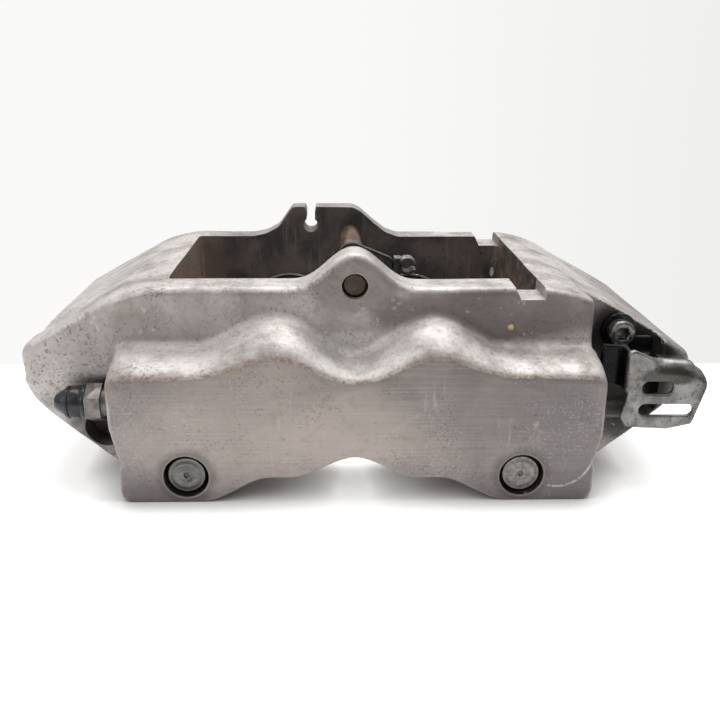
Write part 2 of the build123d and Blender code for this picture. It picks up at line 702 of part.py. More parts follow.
def bracket_bolt():
    """Socket-head screw that holds the bracket."""
    def at(y):
        return (BRACKET_BOLT_X, y, BRACKET_BOLT_Z)

    seat = RECESS_FLOOR_Y - SHEET - 0.02
    head = rod(at(seat - BOLT_HEAD_HEIGHT), at(seat), BOLT_HEAD_RADIUS)
    head = fillet(head.edges().sort_by(Axis.Y)[0], 1.2)
    socket = RegularPolygon(SOCKET_RADIUS, 6, major_radius=False)
    plane = Plane(at(seat - BOLT_HEAD_HEIGHT - 1), x_dir=(1, 0, 0), z_dir=(0, 1, 0))
    head -= extrude(plane * socket, SOCKET_DEPTH + 1)
    return head + rod(at(seat), at(seat + BOLT_LENGTH - 1), BOLT_RADIUS - 0.03)


def build_parts():
    parts = {"caliper_body": caliper_body()}
    per_bore = {
        "piston": piston,
        "piston_seal": piston_seal,
        "boot_ring": boot_ring,
        "dust_boot": dust_boot,
    }
    for kind, make in per_bore.items():
        for side, x in (("left", -PISTON_X), ("right", PISTON_X)):
            shape = make(x)
            parts[kind + "_inboard_" + side] = shape
            parts[kind + "_outboard_" + side] = to_outboard(shape)
    parts["barrel_nut_left"] = barrel_nut(-MOUNT_X)
    parts["barrel_nut_right"] = barrel_nut(MOUNT_X)
    parts["pad_pin"] = pad_pin()
    parts["pin_sleeve"] = pin_sleeve()
    parts["lead_strap"] = lead_strap()
    parts["lead_clip"] = lead_clip()
    for kind, make in {"bleed_screw": bleed_screw, "bleed_cap": bleed_cap}.items():
        shape = make()
        parts[kind + "_inboard"] = shape
        parts[kind + "_outboard"] = to_outboard(shape)
    parts["passage_plugs"] = passage_plugs()
    parts["hose_bracket"] = hose_bracket()
    parts["bracket_bolt"] = bracket_bolt()
    return parts


os.makedirs("parts", exist_ok=True)
for name, shape in build_parts().items():
    export_step(shape, "parts/" + name + ".step")
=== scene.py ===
import json
import math

import bmesh
import bpy
import numpy as np
import openvdb
from mathutils import Matrix, Vector

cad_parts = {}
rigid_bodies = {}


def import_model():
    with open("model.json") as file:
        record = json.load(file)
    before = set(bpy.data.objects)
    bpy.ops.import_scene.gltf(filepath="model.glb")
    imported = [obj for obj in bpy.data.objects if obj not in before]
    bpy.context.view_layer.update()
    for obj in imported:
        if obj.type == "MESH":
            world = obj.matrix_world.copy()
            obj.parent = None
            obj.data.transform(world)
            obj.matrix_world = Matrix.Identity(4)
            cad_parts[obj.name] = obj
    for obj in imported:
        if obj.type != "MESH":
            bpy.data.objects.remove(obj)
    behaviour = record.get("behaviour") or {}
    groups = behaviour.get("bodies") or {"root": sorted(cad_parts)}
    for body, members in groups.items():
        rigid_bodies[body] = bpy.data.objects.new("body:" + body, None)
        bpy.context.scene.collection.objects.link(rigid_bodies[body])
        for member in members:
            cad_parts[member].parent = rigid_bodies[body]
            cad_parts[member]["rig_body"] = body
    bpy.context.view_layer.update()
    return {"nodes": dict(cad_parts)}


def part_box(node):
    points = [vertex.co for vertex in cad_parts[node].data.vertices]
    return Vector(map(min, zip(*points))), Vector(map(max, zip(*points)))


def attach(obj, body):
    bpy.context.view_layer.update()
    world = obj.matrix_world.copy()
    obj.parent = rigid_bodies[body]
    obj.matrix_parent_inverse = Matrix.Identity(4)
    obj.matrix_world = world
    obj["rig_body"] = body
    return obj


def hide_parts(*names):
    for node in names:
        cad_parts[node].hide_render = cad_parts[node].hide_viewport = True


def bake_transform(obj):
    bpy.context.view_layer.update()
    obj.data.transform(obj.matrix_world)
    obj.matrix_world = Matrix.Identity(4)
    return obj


# Used four-piston brake caliper on a white table. The CAD frame gives every position; the cast body is
# rebuilt here with its cast radii, then machined with the same cuts as the CAD body.
# Lengths inside the casting functions are millimetres in the row frame, X along, Y across, Z outward.

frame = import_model()
MM = 0.001


def box_mm(node):
    """Low and high corners of a CAD node in millimetres."""
    low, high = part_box(node)
    return low / MM, high / MM


def centre_mm(node):
    low, high = box_mm(node)
    return (low + high) / 2


# --- driving dimensions, from the frame ---
BODY_LOW, BODY_HIGH = box_mm("caliper_body")
LEFT_END_X = BODY_LOW.x
RIGHT_END_X = BODY_HIGH.x
FACE_Y = BODY_LOW.y
BACK_Y = BODY_HIGH.y
MID_Y = (FACE_Y + BACK_Y) / 2
FAR_LUG_TOP = BODY_HIGH.z
PIN = centre_mm("pad_pin")
PISTON_X = centre_mm("piston_inboard_right").x
PISTON_Z = centre_mm("piston_inboard_right").z
BARREL = centre_mm("barrel_nut_right")
BLEED = centre_mm("bleed_screw_inboard")

# --- cast shape ---
TOP_Z = 65.0
TOP_FLAT_HALF = 68.0
END_SLOPE = 0.55
HEEL_X, HEEL_Z = 89.0, 8.5
HEEL_SLOPE = 16 / 15
SOLE_X, SOLE_Z = 76.0, 1.5
HALF_THICKNESS = 27.0
WALL_THICKNESS = 12.0
WALL_HALF_LENGTH = 75.0
WING_SETBACK = 18.0
LUG_HALF_LENGTH, LUG_RISE = 21.0, 10.5
FAR_LUG = [
    (-38, 0), (-33, 1.0), (-28, 3.6), (-24.5, 8.5), (-22.5, 11.4),
    (1, 11.4), (4, 10), (9.5, 5.3), (14, 1.8), (19, 0),
]
BLOCK_SIDE_X, BLOCK_SHIFT = 76.3, 1.2
LEFT_UNDERSIDE_LIFT, RIGHT_UNDERSIDE_LIFT = 3.0, 1.0
FRONT_PLATEAU_Z, FRONT_BUMP_Z, FRONT_VALLEY_Z = 41.6, 47.4, 39.9
REAR_PLATEAU_Z, REAR_BUMP_Z, REAR_VALLEY_Z = 46.0, 55.5, 43.6
PLATEAU_X = 50.0
SWELL_DEPTH = 15.0
OUTBOARD_FOOT_Z = 4.0
MILLING_STOCK = 0.45
GRAIN = Vector((48.8, 0.9, 52.6))

# --- machined shape ---
NEAR_WALL_Y = FACE_Y + HALF_THICKNESS
FAR_WALL_Y = BACK_Y - HALF_THICKNESS
WINDOW_HALF = 59.0
NOTCH_START_X, NOTCH_DEPTH, NOTCH_RAMP = 49.2, 3.6, 2.2
CHANNEL_RADIUS, CHANNEL_WIDTH, CHANNEL_CENTRE_Z = 168.0, 38.0, -110.0
BORE_DEPTH = 22.0
KEYHOLE_X, KEYHOLE_Z = -15.4, 69.4
RECESS_START_X, RECESS_END_X = 77.0, 99.5
RECESS_FLOOR_Y, RECESS_LOW_Z = 13.6, 21.0
FOOT_HOLE_RADIUS = 5.25
BLEED_RELIEF_RADIUS = 7.0
POCKET_X, POCKET_Z, POCKET_RADIUS = -81.0, 17.5, 6.2
HEX_SHIFT = 1.4


# ------------------------------------------------------------------ casting blank

def round_max(a, b, radius):
    """Intersection of two distance fields with its edge rounded."""
    u = np.maximum(a + radius, 0)
    v = np.maximum(b + radius, 0)
    return np.minimum(np.maximum(a, b), -radius) + np.sqrt(u * u + v * v)


def round_min(a, b, radius):
    """Union of two distance fields with a fillet between them."""
    return -round_max(-a, -b, radius)


def ease(t):
    t = np.clip(t, 0, 1)
    return t * t * (3 - 2 * t)


def outside_line(x, z, start, end):
    """Distance outside the line from start to end, whose inner side is on its right."""
    dx, dz = end[0] - start[0], end[1] - start[1]
    return ((x - start[0]) * -dz + (z - start[1]) * dx) / math.hypot(dx, dz)


def end_field(reach_x, z, end_x, lift):
    """One half of the side outline: flat top, sloping end, rising underside."""
    corners = [
        (0, TOP_Z, 0),
        (TOP_FLAT_HALF, TOP_Z, 5),
        (end_x, TOP_Z - (end_x - TOP_FLAT_HALF) * END_SLOPE, 2.5),
        (end_x, HEEL_Z + lift + (end_x - HEEL_X) * HEEL_SLOPE, 3),
        (HEEL_X, HEEL_Z + lift, 7),
        (SOLE_X, SOLE_Z + lift / 2, 7),
        (0, SOLE_Z, 0),
    ]
    field = None
    for (x0, z0, radius), (x1, z1, _) in zip(corners, corners[1:]):
        side = outside_line(reach_x, z, (x0, z0), (x1, z1))
        field = side if field is None else round_max(field, side, radius)
    return field


def profile_field(x, z):
    """Side outline of the body."""
    left = end_field(-x, z, -LEFT_END_X, LEFT_UNDERSIDE_LIFT)
    return np.where(x < 0, left, end_field(x, z, RIGHT_END_X, RIGHT_UNDERSIDE_LIFT))


def lug_rises(x):
    """How far the near and the far wall rise above the flat top."""
    t = np.clip(np.abs(x) / LUG_HALF_LENGTH, 0, 1)
    near = LUG_RISE * ((1 + np.cos(np.pi * t)) / 2) ** 1.4
    fine = np.arange(LEFT_END_X, RIGHT_END_X, 0.25)
    kernel = np.hanning(13) / np.hanning(13).sum()
    outline = np.convolve(np.interp(fine, *zip(*FAR_LUG)), kernel, "same")
    return near, np.interp(x, fine, outline)


def lugged_field(x, z, rise, step):
    """Side outline with a raised lug on its top."""
    steepness = np.sqrt(1 + np.gradient(rise, step, axis=0) ** 2)
    return profile_field(x, np.where(z > 50, z - rise, z)) / steepness


def wave(x, plateau, bump, valley):
    """Height of the block's top: a bump over each piston and a valley between them."""
    a = np.abs(x)
    inner = valley + (bump - valley) * (1 - np.cos(np.pi * np.clip(a / PISTON_X, 0, 1))) / 2
    outer = (1 + np.cos(np.pi * np.clip((a - PISTON_X) / (PLATEAU_X - PISTON_X), 0, 1))) / 2
    return np.where(a < PISTON_X, inner, plateau + (bump - plateau) * outer)


def arch_rise(x):
    """Height of the underside above the feet."""
    a = np.abs(x)
    return 8.2 * ease((48 - a) / 22) + 6.8 * ease((20 - a) / 20)


def block_field(x, depth, z, step, foot_z, edge):
    """Cylinder block; depth counts from its outer face towards the window."""
    rise = 1 - (1 - np.clip(depth / SWELL_DEPTH, 0, 1)) ** 2
    front = wave(x, FRONT_PLATEAU_Z, FRONT_BUMP_Z, FRONT_VALLEY_Z)
    rear = wave(x, REAR_PLATEAU_Z, REAR_BUMP_Z, REAR_VALLEY_Z)
    height = front + (rear - front) * rise
    slope_x = np.gradient(height, step, axis=0)
    slope_y = np.gradient(height, step, axis=1)
    top = (z - height) / np.sqrt(1 + slope_x ** 2 + slope_y ** 2)
    a = np.abs(x - BLOCK_SHIFT)
    low = foot_z - 0.5 * (foot_z == 0)  # stock under the inboard feet, milled off later
    bottom = low + arch_rise(x) - z
    waist = BLOCK_SIDE_X - 2.2 * ease((27 - z) / 13)
    groove = 0.9 * np.exp(-(((z - 13.2) / 1.3) ** 2))
    side = a - (waist - groove)
    outline = round_max(round_max(side, top, 5), bottom, 4)
    span = np.maximum(-depth, depth - HALF_THICKNESS - 0.5)
    return round_max(outline, span, 1.8 + (edge - 1.8) * ease((z - 20) / 14))


def waviness(x, y, z):
    """Slow unevenness of a sand-cast skin."""
    along_x = np.sin(x / 7.3 + 1.0) * np.sin(z / 6.1 + y / 9.7)
    along_y = np.sin(y / 5.9) * np.cos(x / 11.3 - z / 8.3)
    return 0.11 * (along_x + along_y)


def scoop_field(x, y, z, side):
    """Shallow ball-shaped hollow in the upper slope of one end."""
    return np.sqrt((x - side * 106.4) ** 2 + (y - 24.0) ** 2 + (z - 64.1) ** 2) - 20.0


def relief_field(x, across, z):
    """Round relief along the left wing, one in each half, that clears the bleed screw."""
    radial = np.hypot(across - (MID_Y - BLEED.y), z - BLEED.z) - BLEED_RELIEF_RADIUS
    return np.maximum(radial, x + RECESS_START_X)


def recess_field(x, y, z):
    """Cast pocket for the hose bracket in the right-hand end."""
    across = round_max(RECESS_START_X - x, x - RECESS_END_X, 0.01)
    pocket = round_max(round_max(across, y - RECESS_FLOOR_Y, 2.5), RECESS_LOW_Z - z, 3)
    step = round_max(round_max(WALL_HALF_LENGTH - x, x - 90, 0.01), y - RECESS_FLOOR_Y, 2)
    return round_min(pocket, round_max(step, 44.3 - z, 2), 1)


def casting_field(x, y, z, step):
    """Distance field of the whole casting before machining."""
    across = np.abs(y - MID_Y)
    half_width = (BACK_Y - FACE_Y) / 2
    near, far = [lugged_field(x, z, rise, step) for rise in lug_rises(x)]
    outline = np.where(y < MID_Y, near, far)
    wing = half_width - WING_SETBACK
    wall = half_width - HALF_THICKNESS + WALL_THICKNESS
    reach = wing + (wall - wing) * ease((86 - np.abs(x)) / 14)
    core = round_max(outline, across - reach, 2.6)
    core = np.where(np.abs(x) < 48, np.maximum(core, arch_rise(x) - z), core)
    near_block = block_field(x, y - FACE_Y + MILLING_STOCK, z, step, 0.0, 2.4)
    far_block = block_field(x, BACK_Y - y, z, step, OUTBOARD_FOOT_Z, 7.0)
    body = round_min(core, np.minimum(near_block, far_block), 4)
    for side in (-1, 1):
        body = round_max(body, -scoop_field(x, y, z, side), 1)
    body = round_max(body, -relief_field(x, across, z), 1.5)
    body = round_max(body, -recess_field(x, y, z), 1.2)
    grain = np.sqrt((x - GRAIN.x) ** 2 + (y - GRAIN.y) ** 2 + (z - GRAIN.z) ** 2) - 0.9
    body = np.minimum(body, grain)
    return body + waviness(x, y, z) - parting_field(x, y, z)


def parting_field(x, y, z):
    """Height of the mould's parting ridge on the left wing."""
    ridge = np.exp(-(((z - 33.5 + (x - LEFT_END_X) * 0.4) / 0.7) ** 2))
    return 0.4 * ridge * ease((-x - 84) / 10) * ease((20 - y) / 10)


def field_mesh(name, field_of, low, high, step):
    """Mesh of the zero surface of a distance field, sampled on a grid between two corners."""
    axes = [np.arange(a, b, step, dtype=np.float32) for a, b in zip(low, high)]
    x, y, z = np.meshgrid(*axes, indexing="ij", sparse=True)
    band = 3 * step
    field = np.clip(field_of(x, y, z, step), -band, band).astype(np.float32)
    grid = openvdb.FloatGrid(band)
    grid.copyFromArray(np.ascontiguousarray(field))
    points, quads = grid.convertToQuads(0.0)
    points = (points * step + np.array(low)) * MM
    mesh = bpy.data.meshes.new(name)
    mesh.from_pydata(points.tolist(), [], quads.tolist())
    mesh.update()
    return put(name, mesh)


def casting_blank():
    """Mesh of the casting before machining."""
    step = 0.8
    margin = 4 * step
    low = np.array([LEFT_END_X - margin, FACE_Y - margin, -margin])
    high = np.array([RIGHT_END_X + margin, BACK_Y + margin, FAR_LUG_TOP + margin])
    return field_mesh("caliper_casting", casting_field, low, high, step)


# ------------------------------------------------------------------ mesh helpers

def put(name, mesh):
    """Object for a mesh, in the scene."""
    o = bpy.data.objects.new(name, mesh)
    bpy.context.scene.collection.objects.link(o)
    return o


def from_bmesh(name, bm):
    bmesh.ops.recalc_face_normals(bm, faces=bm.faces)
    mesh = bpy.data.meshes.new(name)
    bm.to_mesh(mesh)
    bm.free()
    return put(name, mesh)


def prism(name, outline, direction, start, end):
    """Straight prism of a closed outline; the outline's plane is across the direction axis."""
    axis = "XYZ".index(direction)
    others = [i for i in range(3) if i != axis]
    bm = bmesh.new()
    rings = []
    for level in (start, end):
        ring = []
        for u, v in outline:
            p = [0.0, 0.0, 0.0]
            p[axis], p[others[0]], p[others[1]] = level * MM, u * MM, v * MM
            ring.append(bm.verts.new(p))
        rings.append(ring)
    n = len(outline)
    bm.faces.new(rings[0])
    bm.faces.new(rings[1])
    for i in range(n):
        bm.faces.new((rings[0][i], rings[0][(i + 1) % n], rings[1][(i + 1) % n], rings[1][i]))
    return from_bmesh(name, bm)


def circle(u, v, radius, count=48):
    angles = [2 * math.pi * i / count for i in range(count)]
    return [(u + radius * math.cos(a), v + radius * math.sin(a)) for a in angles]


def rectangle(low_u, low_v, high_u, high_v, radius=0.0, count=5):
    """Rectangle outline with round corners."""
    if not radius:
        return [(low_u, low_v), (high_u, low_v), (high_u, high_v), (low_u, high_v)]
    outline = []
    centres = [(high_u, high_v, 0), (low_u, high_v, 1), (low_u, low_v, 2), (high_u, low_v, 3)]
    for u, v, quarter in centres:
        cu = u - radius * (1 if u == high_u else -1)
        cv = v - radius * (1 if v == high_v else -1)
        for i in range(count):
            a = math.pi / 2 * (quarter + i / (count - 1))
            outline.append((cu + radius * math.cos(a), cv + radius * math.sin(a)))
    return outline


def rod(centre_u, centre_v, radius, direction, start, end, count=48):
    return prism("cut", circle(centre_u, centre_v, radius, count), direction, start, end)


def boolean(target, other, operation):
    """Apply one boolean and delete the other object."""
    modifier = target.modifiers.new("cut", "BOOLEAN")
    modifier.operation = operation
    modifier.solver = "MANIFOLD"
    modifier.object = other
    bpy.context.view_layer.update()
    result = bpy.data.meshes.new_from_object(target.evaluated_get(bpy.context.evaluated_depsgraph_get()))
    target.modifiers.clear()
    target.data = result
    bpy.data.objects.remove(other)


def smooth(o, degrees=35):
    """Smooth shading with crisp machined edges."""
    o.data.polygons.foreach_set("use_smooth", [True] * len(o.data.polygons))
    o.data.set_sharp_from_angle(angle=math.radians(degrees))


def turned(name, profile, origin, direction, count=64):
    """Solid of revolution: profile points are (distance along the axis, radius), origin is on the axis."""
    axis = Vector(direction).normalized()
    side = axis.orthogonal().normalized()
    other = axis.cross(side)
    bm = bmesh.new()
    rings = []
    for along, radius in profile:
        centre = Vector(origin) + axis * along
        if radius < 1e-6:
            rings.append([bm.verts.new(centre * MM)])
            continue
        ring = []
        for i in range(count):
            a = 2 * math.pi * i / count
            ring.append(bm.verts.new((centre + (side * math.cos(a) + other * math.sin(a)) * radius) * MM))
        rings.append(ring)
    for a, b in zip(rings, rings[1:] + rings[:1]):
        if len(a) == 1 and len(b) == 1:
            continue
        for i in range(count):
            j = (i + 1) % count
            corners = [a[i % len(a)], a[j % len(a)], b[j % len(b)], b[i % len(b)]]
            bm.faces.new(dict.fromkeys(corners))
    return from_bmesh(name, bm)


# ------------------------------------------------------------------ machining

def window_cutters():
    window = prism("cut", rectangle(-WINDOW_HALF, NEAR_WALL_Y, WINDOW_HALF, FAR_WALL_Y, 1.6), "Z", -8, 90)
    floor = TOP_Z - NOTCH_DEPTH
    notch = [
        (NOTCH_START_X, TOP_Z + 1),
        (NOTCH_START_X + NOTCH_RAMP, floor),
        (WINDOW_HALF, floor),
        (WINDOW_HALF, TOP_Z + 1),
    ]
    half = CHANNEL_WIDTH / 2
    channel = rod(0, CHANNEL_CENTRE_Z, CHANNEL_RADIUS, "Y", MID_Y - half, MID_Y + half, 256)
    return [window, prism("cut", notch, "Y", FACE_Y - 1, BACK_Y + 1), channel]


def piston_cutters():
    cuts = []
    for x in (-PISTON_X, PISTON_X):
        for wall, way in ((NEAR_WALL_Y, 1), (FAR_WALL_Y, -1)):
            spans = [(15.05, -BORE_DEPTH, 1), (17.95, -7.8, -4.6), (17.4, -2.5, 1)]
            for radius, start, end in spans:
                low, high = sorted((wall + way * start, wall + way * end))
                cuts.append(rod(x, PISTON_Z, radius, "Y", low, high, 96))
    return cuts


def foot_cutters():
    cuts = [prism("cut", rectangle(-120, -30, 120, 40), "Z", -20, 0)]
    for side in (-1, 1):
        x = side * BARREL.x
        cuts.append(rod(x, BARREL.z, 7.0, "Y", FACE_Y - 2, NEAR_WALL_Y + 1, 64))
        cuts.append(rod(x, 0, FOOT_HOLE_RADIUS, "Z", -1, 20))
    return cuts


def pin_cutters():
    bore = rod(0, PIN.z, 4.05, "Y", -1, FAR_WALL_Y + WALL_THICKNESS + 1)
    low, high = FAR_WALL_Y - 1, FAR_WALL_Y + WALL_THICKNESS + 2
    key = rod(KEYHOLE_X, KEYHOLE_Z, 2.7, "Y", low, high)
    half = 1.65
    mouth = FAR_LUG_TOP + 1
    slot = [
        (KEYHOLE_X - half, KEYHOLE_Z),
        (KEYHOLE_X + half, KEYHOLE_Z),
        (KEYHOLE_X + half, FAR_LUG_TOP - 2),
        (KEYHOLE_X + half + 0.8, mouth),
        (KEYHOLE_X - half - 0.8, mouth),
        (KEYHOLE_X - half, FAR_LUG_TOP - 2),
    ]
    return [bore, key, prism("cut", slot, "Y", low, high)]


def port_cutters():
    """Bleed, inlet and plug holes, the bracket's tapped hole and the blind end pocket."""
    cuts = []
    end = BLOCK_SIDE_X + 2
    for y in (BLEED.y, 2 * MID_Y - BLEED.y):
        cuts.append(rod(y, BLEED.z, 5.0, "X", -end, -65.0))
    cuts.append(rod(BLEED.y, BLEED.z, 5.0, "X", 65.0, end))
    plug_low, plug_high = box_mm("passage_plugs")
    plug_z = (plug_low.z + plug_high.z) / 2
    feeder_y = plug_low.y + 3
    for y in (feeder_y, 2 * MID_Y - feeder_y):
        cuts.append(rod(y, plug_z, 3.0, "X", LEFT_END_X - 2, plug_low.x + 4.6))
    wing_back = BACK_Y - WING_SETBACK
    cuts.append(rod(plug_high.x - 3, plug_z, 3.0, "Y", wing_back - 5, wing_back + 2))
    bolt = centre_mm("bracket_bolt")
    cuts.append(rod(bolt.x, bolt.z, 2.5, "Y", RECESS_FLOOR_Y - 1, RECESS_FLOOR_Y + 14))
    wing_front = FACE_Y + WING_SETBACK
    cuts.append(rod(POCKET_X, POCKET_Z, POCKET_RADIUS, "Y", wing_front - 3, wing_front + 9))
    return cuts


def caliper_casting():
    """The cast body after machining."""
    body = casting_blank()
    milled = prism("cut", rectangle(-120, -20, 120, 100), "Y", FACE_Y - 8, FACE_Y)
    cuts = [milled] + window_cutters() + piston_cutters() + foot_cutters() + pin_cutters() + port_cutters()
    tool = cuts[0]
    for cut in cuts[1:]:
        boolean(tool, cut, "UNION")
    boolean(body, tool, "DIFFERENCE")
    body.data.name = "caliper_casting"
    smooth(body)
    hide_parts("caliper_body")
    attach(body, "caliper")
    return body


# ------------------------------------------------------------------ materials

class Shader:
    """Short calls for wiring one material's nodes. Patterns use the piece's own coordinates, in metres."""

    def __init__(self, name):
        self.material = bpy.data.materials.new(name)
        self.material.use_nodes = True
        self.tree = self.material.node_tree
        self.tree.nodes.clear()
        self.point = self.add("ShaderNodeTexCoord").outputs["Object"]
        split = self.add("ShaderNodeSeparateXYZ", {"Vector": self.point})
        self.x, self.y, self.z = [split.outputs[i] for i in range(3)]
        self.normal = self.add("ShaderNodeNewGeometry").outputs["Normal"]
        normal = self.add("ShaderNodeSeparateXYZ", {"Vector": self.normal})
        self.normal_y, self.normal_z = normal.outputs[1], normal.outputs[2]

    def add(self, kind, inputs=None, **settings):
        node = self.tree.nodes.new(kind)
        for key, value in settings.items():
            setattr(node, key, value)
        for key, value in (inputs or {}).items():
            if isinstance(value, bpy.types.NodeSocket):
                self.tree.links.new(value, node.inputs[key])
            else:
                node.inputs[key].default_value = value
        return node

    def math(self, operation, a, b=0.0, clamp=False):
        return self.add("ShaderNodeMath", {0: a, 1: b}, operation=operation, use_clamp=clamp).outputs[0]

    def times(self, a, b):
        return self.math("MULTIPLY", a, b)

    def plus(self, a, b, clamp=False):
        return self.math("ADD", a, b, clamp)

    def invert(self, a):
        return self.math("SUBTRACT", 1.0, a, True)

    def step(self, value, low, high):
        """0 below low and 1 above high, easing between; low may be the larger."""
        inputs = {"Value": value, "From Min": low, "From Max": high, "To Min": 0.0, "To Max": 1.0}
        return self.add("ShaderNodeMapRange", inputs, interpolation_type="SMOOTHSTEP").outputs[0]

    def mix(self, share, a, b):
        """Colour a at share 0 and colour b at share 1."""
        node = self.add("ShaderNodeMix", data_type="RGBA")
        for socket, value in ((node.inputs[0], share), (node.inputs[6], a), (node.inputs[7], b)):
            if isinstance(value, bpy.types.NodeSocket):
                self.tree.links.new(value, socket)
            elif socket is node.inputs[0]:
                socket.default_value = value
            else:
                socket.default_value = (*value, 1.0)
        return node.outputs[2]

    def place(self, shift, scale):
        """The piece's coordinates, moved and scaled."""
        inputs = {"Vector": self.point, "Location": (shift,) * 3, "Scale": scale}
        return self.add("ShaderNodeMapping", inputs).outputs[0]

    def noise(self, size, detail=3.0, roughness=0.55, stretch=(1, 1, 1), shift=0.0):
        """Cloudy pattern whose features are about size millimetres, stretched along the axes."""
        place = self.place(shift, [1 / (size * MM * s) for s in stretch])
        inputs = {"Vector": place, "Scale": 1.0, "Detail": detail, "Roughness": roughness}
        return self.add("ShaderNodeTexNoise", inputs).outputs["Fac"]

    def specks(self, size, amount, shift=0.0):
        """Scattered ragged specks about size millimetres apart; amount from 0 to 1 sets how big they are."""
        place = self.place(shift, (1 / (size * MM),) * 3)
        stir = self.add("ShaderNodeTexNoise", {"Vector": place, "Scale": 2.2, "Detail": 2.0})
        terms = {0: stir.outputs["Color"], 1: (0.9,) * 3, 2: place}
        pushed = self.add("ShaderNodeVectorMath", terms, operation="MULTIPLY_ADD")
        cell = self.add("ShaderNodeTexVoronoi", {"Vector": pushed.outputs["Vector"], "Scale": 1.0})
        chosen = self.step(cell.outputs["Color"], 0.4, 0.8)
        reach = self.times(chosen, amount)
        return self.step(self.plus(reach, self.times(cell.outputs["Distance"], -1.0)), 0.0, 0.08)

    def crowded(self, size, shift=0.0):
        """Slow mask that gathers specks into crowds."""
        return self.step(self.noise(size, 3, shift=shift), 0.42, 0.62)

    def patch(self, centre, radii, ragged=0.35, size=6.0):
        """Ragged ellipsoid patch in millimetres round a point of the row frame."""
        terms = []
        for value, c, r in zip((self.x, self.y, self.z), centre, radii):
            scaled = self.times(self.plus(value, -c * MM), 1 / (r * MM))
            terms.append(self.times(scaled, scaled))
        distance = self.plus(self.plus(terms[0], terms[1]), terms[2])
        wander = self.times(self.plus(self.noise(size, 4.0), -0.5), ragged * 6)
        return self.step(self.plus(distance, wander), 1.25, 0.55)

    def round_nuts(self, y, radii, ragged, size):
        """Patches round both barrel nuts."""
        left, right = [self.patch((x, y, BARREL.z), radii, ragged, size) for x in (-BARREL.x, BARREL.x)]
        return self.plus(left, right, True)

    def arc(self, x, z, radius, width):
        """Thin ring round a point of the inboard face, in millimetres."""
        across = self.plus(self.x, -x * MM)
        up = self.plus(self.z, -z * MM)
        distance = self.math("SQRT", self.plus(self.times(across, across), self.times(up, up)))
        off = self.math("ABSOLUTE", self.plus(distance, -radius * MM))
        return self.step(off, width * MM, 0.3 * width * MM)

    def hollows(self, reach, samples=8):
        """1 in corners and holes, 0 in the open."""
        node = self.add("ShaderNodeAmbientOcclusion", {"Distance": reach * MM}, samples=samples)
        return self.invert(node.outputs["AO"])

    def edges(self, radius, full=0.86):
        """1 on creases as sharp as full, a cosine, and the softened normal that shows them."""
        soft = self.add("ShaderNodeBevel", {"Radius": radius * MM}, samples=6).outputs[0]
        inputs = {0: soft, 1: self.normal}
        along = self.add("ShaderNodeVectorMath", inputs, operation="DOT_PRODUCT").outputs["Value"]
        return self.step(along, 0.99, full), soft

    def bump(self, height, depth, normal):
        """Surface relief on a normal: height from 0 to 1 over a depth in millimetres."""
        inputs = {"Height": height, "Distance": depth * MM, "Strength": 1.0, "Normal": normal}
        return self.add("ShaderNodeBump", inputs).outputs[0]

    def tint(self, mask, share, tone):
        """Lay a tone over the material's colour: a share of it where the mask is 1."""
        self.colour = self.mix(self.times(mask, share), self.colour, tone)

    def finish(self, roughness, metallic, normal, specular=0.5):
        """Wire the colour and the values given into a finished material."""
        inputs = {"Base Color": self.colour, "Roughness": roughness, "Metallic": metallic}
        inputs.update({"Specular IOR Level": specular, "Normal": normal})
        surface = self.add("ShaderNodeBsdfPrincipled", inputs)
        self.add("ShaderNodeOutputMaterial", {"Surface": surface.outputs[0]})
        return self.material


